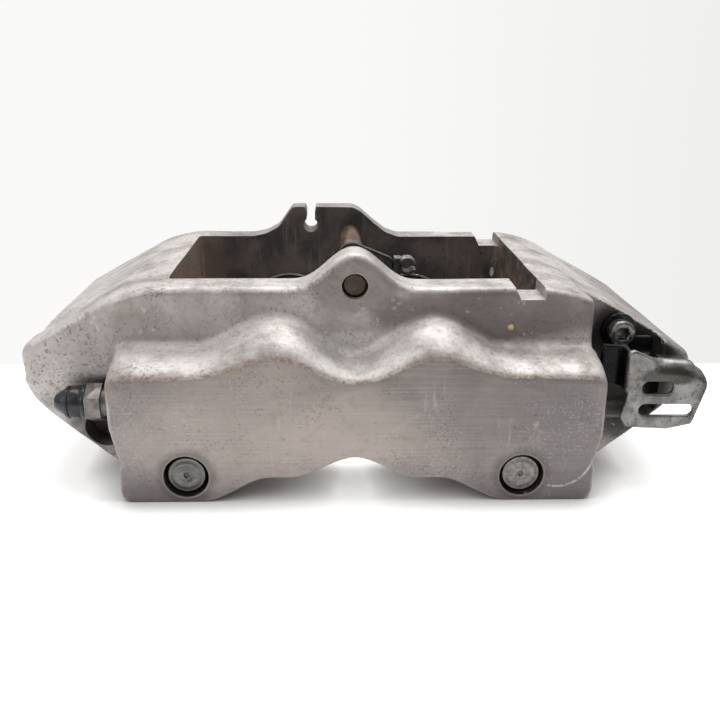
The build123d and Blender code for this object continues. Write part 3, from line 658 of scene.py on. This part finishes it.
def cast_skin():
    """Aged bare aluminium skin: fine grain, dark pits, dirt and painted shade in the corners, painted light
    on upward faces and lit spots, painted shade in dark recesses, and bright edges partly rubbed and partly
    painted highlight.
    """
    s = Shader("cast_aluminium")
    cloud = s.step(s.noise(26, 4), 0.38, 0.62)
    s.colour = s.mix(cloud, (0.27, 0.238, 0.224), (0.37, 0.332, 0.318))
    upward = s.step(s.normal_z, 0.25, 0.8)
    # Painted light: faces turning up are lightened in cloudy patches, as if lit from above.
    pale = s.times(upward, s.step(s.noise(11, 5, 0.65, shift=4.0), 0.30, 0.62))
    s.tint(pale, 0.85, (0.60, 0.565, 0.545))
    streak = s.times(upward, s.step(s.noise(1.5, 4, 0.6, (7, 1, 4), 5.5), 0.56, 0.7))
    s.tint(streak, 0.35, (0.70, 0.67, 0.65))
    # Painted light: the upward ledge between the near wall and the cylinder block is lightened to look lit.
    painted_shelf_light = s.times(s.step(s.normal_z, 0.15, 0.6), s.patch((0.0, -2.0, 48.0), (90.0, 14.0, 13.0), 0.05, 20.0))
    s.tint(painted_shelf_light, 0.12, (0.60, 0.565, 0.56))
    # Painted light: the valley between the piston bumps and the upper left wing are lightened to look lit.
    valley = s.patch((0.0, -4.0, 44.0), (22.0, 14.0, 8.0), 0.05, 20.0)
    wing = s.times(s.step(s.x, -0.080, -0.092), s.step(s.z, 0.018, 0.026))
    s.tint(s.plus(valley, wing, True), 0.42, (0.62, 0.585, 0.575))
    stain = s.step(s.noise(15, 5, 0.65, shift=9.0), 0.5, 0.68)
    s.tint(stain, 0.35, (0.15, 0.122, 0.108))
    mottle = s.step(s.noise(1.5, 5, 0.75, shift=1.5), 0.5, 0.66)
    s.tint(mottle, 0.38, (0.13, 0.11, 0.10))
    far_top = s.times(upward, s.patch((-12.0, 90.0, 70.0), (52.0, 22.0, 12.0), 0.1, 20.0))
    s.tint(far_top, 0.55, (0.17, 0.155, 0.15))
    front = s.step(s.normal_y, -0.35, -0.8)
    right_wall = s.times(front, s.patch((42.0, 3.0, 57.0), (36.0, 14.0, 9.0), 0.2, 12.0))
    s.tint(right_wall, 0.72, (0.085, 0.066, 0.060))
    lug = s.times(front, s.patch((0.0, 2.0, 67.0), (16.0, 9.0, 10.0), 0.15, 6.0))
    s.tint(lug, 0.45, (0.10, 0.083, 0.075))
    far_end = s.step(s.x, 0.080, 0.104)
    s.tint(far_end, 0.55, (0.15, 0.135, 0.125))
    # Painted shade: the bracket recess and the bores round the barrel nuts are darkened nearly to black,
    # where shadow falls.
    recess = s.times(s.patch((89.0, 6.0, 39.0), (16.5, 17.0, 29.0), 0.1), s.step(s.x, 0.0745, 0.0765))
    recess = s.times(recess, s.invert(upward))
    bores = s.round_nuts(FACE_Y + 9, (10.0, 26.0, 10.0), 0.02, 6.0)
    dark = s.plus(recess, bores, True)
    s.tint(dark, 0.94, (0.012, 0.010, 0.009))
    # Painted shadow on the left wing round the bleed screw and its pocket.
    left_end = s.patch((-82.0, 8.0, 18.0), (10.0, 10.0, 11.0))
    s.tint(left_end, 0.75, (0.05, 0.046, 0.046))
    # Dirt and painted shade: an occlusion mask darkens corners and holes.
    grime_and_shade = s.times(s.hollows(7.0), s.plus(0.35, s.noise(5, 4)))
    s.tint(s.step(grime_and_shade, 0.34, 0.8), 0.9, (0.06, 0.047, 0.04))
    fine = s.times(s.specks(0.8, 0.52), s.crowded(14))
    coarse = s.times(s.specks(1.9, 0.3, 2.0), s.crowded(9, 5.0))
    pits = s.times(s.plus(fine, coarse, True), s.plus(1.0, s.times(painted_shelf_light, -0.75)))
    s.tint(pits, 0.5, (0.065, 0.053, 0.047))
    bright = s.times(s.specks(2.8, 0.3, 7.0), s.crowded(12, 2.0))
    s.tint(bright, 0.4, (0.55, 0.53, 0.51))
    lip = s.times(s.step(s.y, (FACE_Y + 1.0) * MM, (FACE_Y + 0.4) * MM), s.step(s.z, 0.033, 0.037))
    dirt = s.times(lip, s.plus(0.35, s.step(s.noise(2.0, 4, 0.7, shift=7.0), 0.45, 0.6)))
    s.tint(dirt, 0.6, (0.22, 0.145, 0.095))
    grain = s.patch(GRAIN, (1.1, 1.2, 1.1), 0.0)
    s.colour = s.mix(grain, s.colour, (0.52, 0.39, 0.22))
    # Edges lightened: partly rubbed metal, partly painted highlight.
    edge, soft = s.edges(0.6)
    s.tint(edge, 0.45, (0.55, 0.52, 0.50))
    relief = s.plus(s.times(s.noise(0.9, 3), 0.6), s.times(s.noise(4.0, 3), 0.9))
    relief = s.plus(relief, s.times(pits, -0.7))
    roughness = s.plus(0.42, s.times(s.noise(7, 3, shift=3.0), 0.26))
    return s.finish(roughness, 0.45, s.bump(relief, 0.14, soft))


def milled_skin():
    """Milled and rubbed face: faint long scratches, grey blooms, tan dirt along the upper edge."""
    s = Shader("milled_aluminium")
    band = s.noise(1.1, 3, 0.6, (26, 1, 0.55))
    fine = s.noise(0.4, 2, 0.6, (60, 1, 0.8), 2.0)
    cloud = s.step(s.noise(30, 5, 0.6, shift=5.0), 0.34, 0.66)
    s.colour = s.mix(cloud, (0.185, 0.165, 0.158), (0.275, 0.238, 0.218))
    middle = s.patch((-28.0, FACE_Y, 22.0), (46.0, 20.0, 26.0), 0.12, 20.0)
    s.tint(middle, 0.45, (0.44, 0.375, 0.34))
    s.tint(s.step(band, 0.42, 0.66), 0.18, (0.40, 0.37, 0.35))
    s.tint(s.step(fine, 0.55, 0.72), 0.2, (0.12, 0.105, 0.105))
    lower = s.step(s.z, 0.018, 0.003)
    s.tint(lower, 0.4, (0.135, 0.12, 0.135))
    s.tint(s.step(s.x, -0.042, -0.072), 0.4, (0.15, 0.14, 0.145))
    s.tint(s.step(s.x, 0.015, 0.075), 0.55, (0.135, 0.12, 0.128))
    smear = s.step(s.noise(3.0, 5, 0.7, (0.6, 1, 4.0), 6.0), 0.55, 0.72)
    chalk = s.times(smear, s.step(s.noise(18, 2, shift=3.0), 0.48, 0.6))
    s.tint(chalk, 0.5, (0.47, 0.44, 0.42))
    mottle = s.step(s.noise(3.4, 5, 0.75, shift=1.5), 0.5, 0.68)
    s.tint(mottle, 0.22, (0.12, 0.105, 0.10))
    around = s.round_nuts(FACE_Y, (9.6, 20, 9.6), 0.12, 4.0)
    s.tint(around, 0.6, (0.085, 0.067, 0.060))
    fleck = s.times(s.specks(0.8, 0.5, 9.0), s.crowded(20, 8.0))
    s.tint(fleck, 0.22, (0.52, 0.49, 0.47))
    small = s.times(s.specks(1.0, 0.42), s.crowded(16))
    large = s.times(s.specks(3.6, 0.2, 5.0), s.crowded(22, 3.0))
    spots = s.plus(small, large, True)
    s.tint(spots, 0.34, (0.07, 0.058, 0.054))
    scratch = s.times(s.arc(63.5, 15.5, 10.7, 0.5), s.step(s.x, 0.0585, 0.062))
    scratch = s.times(scratch, s.step(s.z, 0.0135, 0.011))
    s.tint(scratch, s.step(s.noise(2.0, 3), 0.35, 0.5), (0.40, 0.38, 0.37))
    # The crease is lightened as partly rubbed metal and partly painted highlight; the tan line along it is
    # dirt.
    edge, soft = s.edges(1.1, 0.967)
    tan = s.times(edge, s.step(s.z, 0.030, 0.036))
    s.tint(edge, 0.4, (0.46, 0.43, 0.41))
    s.tint(tan, 0.75, (0.22, 0.145, 0.095))
    relief = s.plus(s.times(band, 0.5), s.times(fine, 0.5))
    relief = s.plus(relief, s.times(spots, -0.6))
    roughness = s.plus(0.36, s.times(s.noise(8, 3), 0.22))
    return s.finish(roughness, 0.5, s.bump(relief, 0.035, soft))


def window_skin():
    """Walls of the pad window: brake dust, brown stains, vertical rub marks and pits."""
    s = Shader("window_walls")
    cloud = s.step(s.noise(12, 5, 0.65, shift=1.0), 0.36, 0.62)
    s.colour = s.mix(cloud, (0.038, 0.034, 0.034), (0.10, 0.078, 0.067))
    streak = s.step(s.noise(1.6, 4, 0.6, (1, 1, 9), 3.0), 0.52, 0.7)
    s.tint(streak, 0.25, (0.19, 0.165, 0.15))
    left_end = s.times(s.step(s.x, -0.046, -0.0595), s.plus(0.5, s.noise(9, 4)))
    s.tint(left_end, 0.7, (0.24, 0.175, 0.145))
    ends = s.step(s.math("ABSOLUTE", s.x), 0.050, 0.058)
    rust = s.times(s.step(s.noise(4.5, 5, 0.7, shift=8.0), 0.5, 0.64), ends)
    s.tint(rust, 0.85, (0.20, 0.115, 0.07))
    drip = s.patch((57.3, FAR_WALL_Y, 50.7), (0.8, 6.0, 2.0), 0.02)
    s.colour = s.mix(drip, s.colour, (0.46, 0.44, 0.43))
    floor = s.step(s.normal_z, 0.7, 0.95)
    s.tint(floor, 0.9, (0.40, 0.36, 0.335))
    pits = s.plus(s.specks(1.8, 0.26), s.specks(4.0, 0.2, 3.0), True)
    s.tint(pits, 0.75, (0.015, 0.012, 0.011))
    # Edges lightened: partly rubbed metal, partly painted highlight.
    edge, soft = s.edges(0.6)
    s.tint(edge, 0.5, (0.42, 0.39, 0.37))
    relief = s.plus(s.times(streak, 0.4), s.times(s.noise(1.5, 4), 0.8))
    roughness = s.plus(0.42, s.times(s.noise(6, 3), 0.3))
    return s.finish(roughness, 0.35, s.bump(s.plus(relief, s.times(pits, -0.8)), 0.15, soft))


def metal(name, dark, light, roughness, grain=2.0, rust=0.0, metallic=0.85, stretch=(1, 1, 1), front=1.0):
    """Worn metal: two tones, optional rust, dirt and painted shade in hollows, bright edges partly rubbed and
    partly painted highlight; front scales the painted shade on inboard ends.
    """
    s = Shader(name)
    s.colour = s.mix(s.step(s.noise(grain, 5, 0.65, stretch), 0.36, 0.64), dark, light)
    rusty = s.step(s.noise(grain * 1.7, 5, 0.7, shift=6.0), 0.62 - rust * 0.25, 0.74 - rust * 0.2)
    s.tint(rusty, min(1.0, rust * 1.4), (0.16, 0.075, 0.04))
    spots = s.specks(grain * 0.7, 0.25, 1.0)
    s.tint(spots, 0.5, tuple(0.35 * c for c in dark))
    # Dirt and painted shade in hollows, from an occlusion mask.
    grime_and_shade = s.step(s.hollows(2.5, 6), 0.35, 0.85)
    s.tint(grime_and_shade, 0.7, (0.03, 0.024, 0.02))
    # Edges lightened: partly rubbed metal, partly painted highlight.
    edge, soft = s.edges(0.3)
    worn_lit_edge_tone = tuple(min(1.0, 0.25 + 1.3 * c) for c in light)
    s.tint(edge, 0.6, worn_lit_edge_tone)
    # Painted shade: end faces turned to the inboard side are darkened by a share of 1 - front, for ends sunk
    # in their holes.
    ends = s.step(s.normal_y, -0.7, -0.95)
    s.tint(ends, 1 - front, tuple(0.25 * c for c in dark))
    uneven = s.plus(roughness - 0.08, s.times(s.noise(grain * 2, 3), 0.22))
    relief = s.plus(s.times(s.noise(grain * 0.4, 3), 0.7), s.times(spots, -0.6))
    return s.finish(uneven, metallic, s.bump(relief, 0.04, soft))


def polymer(name, dark, light, roughness, grain=1.2, dust=(0.20, 0.17, 0.15), dusty=0.3):
    """Rubber or plastic: matt, slightly mottled, with dust caught on its upper side."""
    s = Shader(name)
    s.colour = s.mix(s.step(s.noise(grain * 3, 4), 0.35, 0.65), dark, light)
    settled = s.times(s.step(s.normal_z, 0.0, 0.9), s.step(s.noise(grain, 5, 0.7, shift=2.0), 0.4, 0.65))
    s.tint(settled, dusty, dust)
    # Edges lightened: partly worn, partly painted highlight.
    edge, soft = s.edges(0.3)
    s.tint(edge, 0.3, tuple(0.1 + c for c in light))
    uneven = s.plus(roughness - 0.06, s.times(s.noise(grain * 2, 3), 0.14))
    relief = s.plus(s.noise(grain * 0.3, 3), s.times(s.noise(grain * 2, 2), 0.6))
    return s.finish(uneven, 0.0, s.bump(relief, 0.05, soft), 0.4)


def zinc_skin():
    """Aged zinc plating: cool grey sheet with tan blooms, dark drips, painted light on upward faces, painted
    shade on the set-back parts and flange, and bright edges partly bare and partly painted highlight.
    """
    s = Shader("zinc_steel")
    s.colour = s.mix(s.step(s.noise(7, 5, 0.6), 0.36, 0.64), (0.105, 0.099, 0.095), (0.235, 0.228, 0.224))
    tan = s.step(s.noise(5, 5, 0.7, shift=3.0), 0.53, 0.66)
    s.tint(tan, 0.4, (0.25, 0.17, 0.11))
    drip = s.step(s.noise(2.4, 4, 0.6, (1, 1, 4), 8.0), 0.6, 0.72)
    s.tint(drip, 0.7, (0.045, 0.034, 0.03))
    # Painted light: upward faces are lightened as if lit from above.
    upward = s.step(s.normal_z, 0.4, 0.9)
    s.tint(upward, 0.5, (0.36, 0.35, 0.345))
    shade = s.patch((97.0, -7.0, 39.4), (9.0, 6.0, 3.2), 0.3, 3.0)
    s.tint(shade, 0.8, (0.035, 0.033, 0.028))
    # Painted shade: bracket parts set back into the recess are darkened nearly to black.
    painted_recess_shade = s.step(s.y, -0.0055, -0.002)
    s.tint(painted_recess_shade, 0.9, (0.015, 0.014, 0.015))
    # Painted shade: the bent flange behind the front plate is darkened nearly to black.
    behind = (box_mm("hose_bracket")[0].y + 1.7) * MM
    flange = s.times(s.step(s.x, 0.0870, 0.0862), s.step(s.y, behind, behind + 0.0006))
    s.tint(flange, 0.95, (0.008, 0.008, 0.009))
    spots = s.specks(1.3, 0.4, 4.0)
    s.tint(spots, 0.6, (0.05, 0.035, 0.025))
    # Edges lightened: partly bare metal, partly painted highlight.
    edge, soft = s.edges(0.35)
    s.tint(edge, 0.55, (0.52, 0.51, 0.50))
    roughness = s.plus(0.22, s.times(s.noise(4, 4), 0.34))
    relief = s.plus(s.times(s.noise(9, 2), 1.4), s.times(s.noise(1.0, 3), 0.25))
    return s.finish(roughness, 0.85, s.bump(relief, 0.22, soft))


# ------------------------------------------------------------------ pieces

def dress(o, material):
    """Give a piece one material."""
    o.data.materials.clear()
    o.data.materials.append(material)


def body_name(node):
    return frame["nodes"][node]["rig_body"]


def dress_casting(body):
    """Material by surface: cast skin, milled outer face and window walls; the bores outside the window keep
    the cast skin.
    """
    body.data.materials.clear()
    for material in (cast_skin(), milled_skin(), window_skin()):
        body.data.materials.append(material)
    count = len(body.data.polygons)
    centres, normals = np.empty(count * 3), np.empty(count * 3)
    body.data.polygons.foreach_get("center", centres)
    body.data.polygons.foreach_get("normal", normals)
    x, y, _ = centres.reshape(-1, 3).T / MM
    normal_y = normals.reshape(-1, 3)[:, 1]
    index = np.zeros(count, np.int32)
    inside = (np.abs(x) < WINDOW_HALF + 0.05) & (y > NEAR_WALL_Y - 0.05) & (y < FAR_WALL_Y + 0.05)
    index[inside] = 2
    index[(np.abs(y - FACE_Y) < 0.02) & (normal_y < -0.9)] = 1
    body.data.polygons.foreach_set("material_index", index)


def stand_in(o, node, material, degrees=35):
    """A rebuilt piece that takes the place of one CAD node."""
    smooth(o, degrees)
    o.name = node + "_piece"
    dress(o, material)
    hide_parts(node)
    return o


def refined(node, bevel, material, shift=0.0):
    """Copy of a CAD node with its edges rounded; shift moves what stands out at the block's left end."""
    source = frame["nodes"][node]
    bm = bmesh.new()
    bm.from_mesh(source.data)
    bmesh.ops.remove_doubles(bm, verts=bm.verts, dist=1e-6)
    for vertex in bm.verts:
        if vertex.co.x < -(BLOCK_SIDE_X + 0.5) * MM:
            vertex.co.x += shift * MM
    o = from_bmesh(node, bm)
    modifier = o.modifiers.new("edges", "BEVEL")
    modifier.width = bevel * MM
    modifier.segments = 2
    modifier.limit_method = "ANGLE"
    modifier.angle_limit = math.radians(40)
    stand_in(o, node, material)
    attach(o, body_name(node))
    return o


def bellows(node, material):
    """Rubber boot: outer bead in the body, two folds, inner bead in the piston's groove."""
    low, high = box_mm(node)
    x, z = (low.x + high.x) / 2, (low.z + high.z) / 2
    outboard = low.y > MID_Y
    seat, lip = (high.y, low.y) if outboard else (low.y, high.y)
    direction = (0, -1, 0) if outboard else (0, 1, 0)
    length = abs(lip - seat)
    outer, inner = (high.x - low.x) / 2, 15.12
    path = []
    folds = 24
    for i in range(folds + 1):
        t = i / folds
        along = 0.35 + (length - 0.7) * t
        radius = outer - 0.35 - (outer - inner - 0.7) * (t * t * (3 - 2 * t))
        radius += 0.22 * math.sin(t * 3 * 2 * math.pi) * math.sin(math.pi * t)
        path.append((along, radius))
    half = 0.17
    skin = [(a, r + half) for a, r in path] + [(a, r - half) for a, r in reversed(path)]
    outer_bead = [(0.0, outer - 0.5), (0.0, outer), (0.7, outer)]
    inner_bead = [(length - 0.7, inner + 0.75), (length, inner + 0.6), (length, inner)]
    middle = len(path)
    profile = outer_bead + skin[1:middle - 1] + inner_bead + skin[middle + 1:-1]
    o = turned(node, profile, (x, seat, z), direction, 72)
    stand_in(o, node, material, 60)
    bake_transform(o)
    return o


def barrel_nut(node, material):
    """Round nut with a domed, centre-marked end and its cross-tapped hole."""
    low, high = box_mm(node)
    x, z = (low.x + high.x) / 2, (low.z + high.z) / 2
    radius, length = (high.x - low.x) / 2, high.y - low.y
    ring = []
    for i in range(13):
        t = i / 12
        ring.append((-0.5 + 0.4 * t ** 4 - 0.12 * math.sin(2 * math.pi * 2 * t), 0.95 + (radius - 2.3) * t))
    shoulder = [(-0.1, radius - 1.25), (1.5, radius - 0.55), (2.2, radius)]
    end = [(0.5, 0.0), (0.1, 0.7)] + ring + shoulder
    profile = end + [(length - a, r) for a, r in reversed(end)]
    o = turned(node, profile, (x, low.y, z), (0, 1, 0), 72)
    boolean(o, rod(x, (low.y + high.y) / 2, 5.0, "Z", z - 10, z + 10), "DIFFERENCE")
    stand_in(o, node, material, 30)
    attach(o, body_name(node))
    return o


def bleed_cap(node, material):
    """Moulded dust cap: beaded skirt, waist groove, pulled-in neck and rounded tip."""
    low, high = box_mm(node)
    y, z = (low.y + high.y) / 2, (low.z + high.z) / 2
    base = (high.z - low.z) / 2
    length = high.x - low.x
    flange = [(0.0, base - 0.4), (0.15, base - 0.1), (0.4, base), (1.0, base), (1.3, base - 0.15)]
    skirt = [(1.5, base - 0.55), (1.8, base - 0.6), (2.1, base - 0.3), (4.9, base - 0.5), (5.1, base - 0.9)]
    bead = [(5.4, base - 0.9), (5.6, base - 0.45), (6.4, base - 0.5), (6.7, base - 1.2), (7.0, base - 1.25)]
    tip = [(length - 0.5, base - 2.9), (length - 0.1, base - 3.2), (length, base - 3.6), (length, 0.0)]
    inside = [(length - 1.6, 0.0), (length - 1.8, 3.1), (0.0, 3.3)]
    knots = flange + skirt + bead + tip + inside
    o = turned(node, knots, (high.x + HEX_SHIFT, y, z), (-1, 0, 0), 64)
    stand_in(o, node, material, 50)
    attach(o, body_name(node))
    return o


def plate(first, second, off_middle, thickness):
    """Flat sheet: two in-plane limits and the distance from its middle plane."""
    return round_max(round_max(first, second, 0.6), off_middle - thickness / 2, 0.35)


def bar(value, low, high):
    """Distance outside the span from low to high."""
    return np.maximum(low - value, value - high)


def obround(x, z, centre, length, height):
    """Slot outline with round ends."""
    half = (length - height) / 2
    return np.hypot(np.maximum(np.abs(x - centre[0]) - half, 0), z - centre[1]) - height / 2


def polygon_field(x, z, points):
    """Distance outside a closed polygon in X and Z."""
    nearest = None
    inside = np.zeros(np.broadcast(x, z).shape, bool)
    for (x0, z0), (x1, z1) in zip(points, points[1:] + points[:1]):
        dx, dz = x1 - x0, z1 - z0
        t = np.clip(((x - x0) * dx + (z - z0) * dz) / (dx * dx + dz * dz), 0, 1)
        gap = np.hypot(x - x0 - t * dx, z - z0 - t * dz)
        nearest = gap if nearest is None else np.minimum(nearest, gap)
        crosses = ((z0 > z) != (z1 > z)) & (x < x0 + (z - z0) * dx / (dz if dz else 1.0))
        inside ^= crosses
    return np.where(inside, -nearest, nearest)


def bracket_field(x, y, z, step):
    """Pressed bracket: tab, web, slotted front plate with a rolled shoulder, and bent flange."""
    low, high = box_mm("hose_bracket")
    bolt = centre_mm("bracket_bolt")
    sheet = 1.6
    round_by = 1.3
    core = [(85.8, 46.4), (93.6, 43.1), (103.2, 42.2), (107.0, 40.0), (109.0, 37.4), (105.5, 24.4),
            (98.8, 22.9), (86.2, 23.6), (84.8, 25.9), (86.6, 34.2)]
    outline = polygon_field(x, z, core) - round_by
    shoulder = np.interp(x, [84.4, 93.6, 103.4, 108.4, 110.5], [high.z, 44.4, 43.6, 41.6, 38.1])
    curl = 3.4 * np.clip((z - shoulder + 4.6) / 4.6, 0, 1) ** 2 * ease((x - 90) / 6)
    front = plate(outline, -50.0, np.abs(y - (low.y + sheet / 2) - curl), sheet)
    front = round_max(front, -obround(x, z, (94.3, 35.5), 9.9, 4.2), 0.4)
    front = round_max(front, -obround(x, z, (97.7, 28.1), 17.2, 3.8), 0.4)
    web = plate(bar(x, bolt.x - 0.5, 98.6), bar(y, low.y + 1.6, high.y), np.abs(z - 39.2), sheet)
    rim = plate(bar(x, 96.6, 105.2), bar(y, low.y + 2.4, 4.2), np.abs(z - 41.9), sheet)
    lobe = np.hypot(x - bolt.x, z - bolt.z) - 5.8
    arm = round_max(bar(x, bolt.x - 4, 98.6), bar(z, 38.4, 46.2), 1.5)
    tab = plate(np.minimum(lobe, arm), -50.0, np.abs(y - high.y + sheet / 2), sheet)
    tab = np.maximum(tab, 2.7 - np.hypot(x - bolt.x, z - bolt.z))
    side = plate(bar(y, low.y + 0.6, 1.6), bar(z, 34.0, 47.0), np.abs(x - 85.0), sheet)
    foot = plate(bar(x, 78.4, 85.4), bar(z, 34.0, 47.0), np.abs(y - 1.8 + (x - 78.4) * 0.25), sheet)
    flange = round_min(side, foot, 1.5)
    body = round_min(front, round_min(web, rim, 1.0), 1.6)
    return np.minimum(round_min(body, tab, 1.6), round_min(front, flange, 1.2))


def hose_bracket(material):
    low, high = box_mm("hose_bracket")
    edge = Vector((1.5, 1.5, 1.5))
    o = field_mesh("hose_bracket", bracket_field, low - edge, high + edge, 0.35)
    stand_in(o, "hose_bracket", material, 60)
    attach(o, body_name("hose_bracket"))


def small_parts():
    """Every piece except the casting."""
    piston = metal("piston_alloy", (0.16, 0.15, 0.15), (0.30, 0.285, 0.275), 0.35)
    seal = polymer("seal_rubber", (0.012, 0.012, 0.013), (0.03, 0.03, 0.032), 0.45)
    ring = metal("plated_steel_ring", (0.26, 0.25, 0.24), (0.50, 0.49, 0.475), 0.28, 1.5, 0.1)
    nut = metal("plated_steel_nut", (0.105, 0.10, 0.096), (0.165, 0.157, 0.15), 0.34, 5.0)
    pale_nut = metal("plated_steel_pale", (0.17, 0.158, 0.148), (0.29, 0.272, 0.255), 0.5, 1.2, 0.2)
    boot = polymer("boot_rubber", (0.010, 0.010, 0.011), (0.035, 0.033, 0.032), 0.5)
    # front=0.12 gives the pin's sunk inboard end painted shade.
    pin = metal("pin_steel", (0.12, 0.086, 0.066), (0.30, 0.225, 0.175), 0.38, 2.2, 0.5,
                stretch=(1, 4, 1), front=0.12)
    sleeve = metal("spring_steel", (0.10, 0.088, 0.08), (0.24, 0.21, 0.19), 0.4, 1.0, 0.4)
    screw = metal("screw_steel", (0.115, 0.107, 0.098), (0.185, 0.174, 0.162), 0.36, 3.0, 0.15)
    bolt = metal("bolt_steel", (0.09, 0.086, 0.084), (0.24, 0.23, 0.225), 0.26, 1.4, 0.1)
    plug = metal("dark_steel", (0.11, 0.10, 0.095), (0.24, 0.225, 0.21), 0.42, 1.5, 0.2)
    strap = polymer("strap_plastic", (0.012, 0.012, 0.013), (0.04, 0.038, 0.037), 0.42)
    clip = polymer("clip_plastic", (0.03, 0.03, 0.031), (0.085, 0.083, 0.082), 0.45,
                   dust=(0.36, 0.35, 0.34), dusty=0.85)
    cap = polymer("cap_rubber", (0.008, 0.008, 0.010), (0.020, 0.020, 0.024), 0.24, dusty=0.06)
    for across in ("inboard", "outboard"):
        for side in ("left", "right"):
            end = "_" + across + "_" + side
            dress(frame["nodes"]["piston" + end], piston)
            dress(frame["nodes"]["piston_seal" + end], seal)
            dress(frame["nodes"]["boot_ring" + end], ring)
            bellows("dust_boot" + end, boot)
        refined("bleed_screw_" + across, 0.15, screw, HEX_SHIFT)
        bleed_cap("bleed_cap_" + across, cap)
    barrel_nut("barrel_nut_left", nut)
    barrel_nut("barrel_nut_right", pale_nut)
    dress(frame["nodes"]["pad_pin"], pin)
    dress(frame["nodes"]["pin_sleeve"], sleeve)
    dress(frame["nodes"]["passage_plugs"], plug)
    refined("lead_strap", 0.12, strap)
    refined("lead_clip", 0.3, clip)
    hose_bracket(zinc_skin())
    refined("bracket_bolt", 0.15, bolt)


# ------------------------------------------------------------------ stage

def table():
    """White table whose back edge shows just behind the caliper."""
    bm = bmesh.new()
    floor_z = -0.05
    corners = [(-900, -700), (900, -700), (900, BACK_Y + 3), (-900, BACK_Y + 3)]
    bm.faces.new([bm.verts.new(Vector((x, y, floor_z)) * MM) for x, y in corners])
    o = from_bmesh("table", bm)
    s = Shader("table_white")
    tone = s.mix(s.noise(160, 2), (0.86, 0.86, 0.855), (0.90, 0.90, 0.895))
    # Painted contact shadow: an occlusion mask greys the table's colour and dims its glow next to the
    # caliper.
    outside_painted_shadow = s.invert(s.hollows(12.0, 16))
    tone = s.mix(outside_painted_shadow, (0.27, 0.25, 0.24), tone)
    glow = s.add("ShaderNodeEmission", {"Color": tone, "Strength": s.times(outside_painted_shadow, 0.47)})
    matt = s.add("ShaderNodeBsdfDiffuse", {"Color": tone})
    both = s.add("ShaderNodeAddShader", {0: glow.outputs[0], 1: matt.outputs[0]})
    s.add("ShaderNodeOutputMaterial", {"Surface": both.outputs[0]})
    o.data.materials.append(s.material)
    return o


def area_light(name, place, target, size, power):
    data = bpy.data.lights.new(name, "AREA")
    data.shape = "RECTANGLE"
    data.size, data.size_y = size
    data.energy = power
    o = bpy.data.objects.new(name, data)
    bpy.context.scene.collection.objects.link(o)
    o.location = place
    o.rotation_mode = "QUATERNION"
    o.rotation_quaternion = (Vector(target) - Vector(place)).to_track_quat("-Z", "Y")
    return o


def studio():
    """Very soft light from above and a white room round it; the backdrop that the camera sees darkens towards
    the right as painted shade.
    """
    world = bpy.data.worlds.new("room")
    bpy.context.scene.world = world
    world.use_nodes = True
    nodes, link = world.node_tree.nodes, world.node_tree.links.new
    nodes.clear()
    direction = nodes.new("ShaderNodeSeparateXYZ")
    link(nodes.new("ShaderNodeTexCoord").outputs["Generated"], direction.inputs[0])

    def ramp(axis, start, end, first, last):
        """Value that goes from first to last between two heights of one axis."""
        node = nodes.new("ShaderNodeMapRange")
        link(direction.outputs[axis], node.inputs["Value"])
        for key, value in {"From Min": start, "From Max": end, "To Min": first, "To Max": last}.items():
            node.inputs[key].default_value = value
        return node.outputs[0]

    strength = nodes.new("ShaderNodeMath")
    strength.operation = "MULTIPLY"
    link(ramp(2, -0.2, 0.9, 0.42, 1.15), strength.inputs[0])
    link(ramp(1, -0.8, 0.3, 0.5, 1.0), strength.inputs[1])
    room = nodes.new("ShaderNodeBackground")
    link(strength.outputs[0], room.inputs["Strength"])
    # Painted shade: the backdrop seen by the camera darkens towards the right.
    wall = nodes.new("ShaderNodeMix")
    wall.data_type = "RGBA"
    wall.inputs[6].default_value = (0.955, 0.95, 0.935, 1)
    wall.inputs[7].default_value = (0.0, 0.0, 0.0, 1)
    link(ramp(0, 0.0, 0.45, 0.0, 0.10), wall.inputs[0])
    seen = nodes.new("ShaderNodeBackground")
    link(wall.outputs[2], seen.inputs["Color"])
    choose = nodes.new("ShaderNodeMixShader")
    link(nodes.new("ShaderNodeLightPath").outputs["Is Camera Ray"], choose.inputs[0])
    link(room.outputs[0], choose.inputs[1])
    link(seen.outputs[0], choose.inputs[2])
    link(choose.outputs[0], nodes.new("ShaderNodeOutputWorld").inputs[0])
    area_light("top_light", (0.1, 0.25, 0.9), (0, 0.05, 0.03), (0.9, 0.6), 9.0)
    area_light("left_light", (-0.7, -0.5, 0.5), (0, 0, 0.03), (0.5, 0.5), 2.5)
    bpy.context.scene.view_settings.view_transform = "Standard"


def camera():
    """Camera in front of the inboard face, looking 20 degrees down and 2 degrees to the right."""
    data = bpy.data.cameras.new("camera")
    data.sensor_width = 36.0
    data.lens = 41.35
    data.clip_start, data.clip_end = 0.01, 20.0
    pitch, yaw, roll = math.radians(19.97), math.radians(2.0), math.radians(0.6)
    ahead = Vector((math.sin(yaw) * math.cos(pitch), math.cos(yaw) * math.cos(pitch), -math.sin(pitch)))
    level = Vector((math.cos(yaw), -math.sin(yaw), 0))
    upright = level.cross(ahead)
    right = level * math.cos(roll) + upright * math.sin(roll)
    up = upright * math.cos(roll) - level * math.sin(roll)
    turn = Matrix((right, up, -ahead)).transposed().to_4x4()
    o = bpy.data.objects.new("camera", data)
    bpy.context.scene.collection.objects.link(o)
    o.matrix_world = Matrix.Translation(Vector((-6.8, FACE_Y - 229.7, PIN.z + 65.2)) * MM) @ turn
    bpy.context.scene.camera = o


dress_casting(caliper_casting())
small_parts()
table()
studio()
camera()
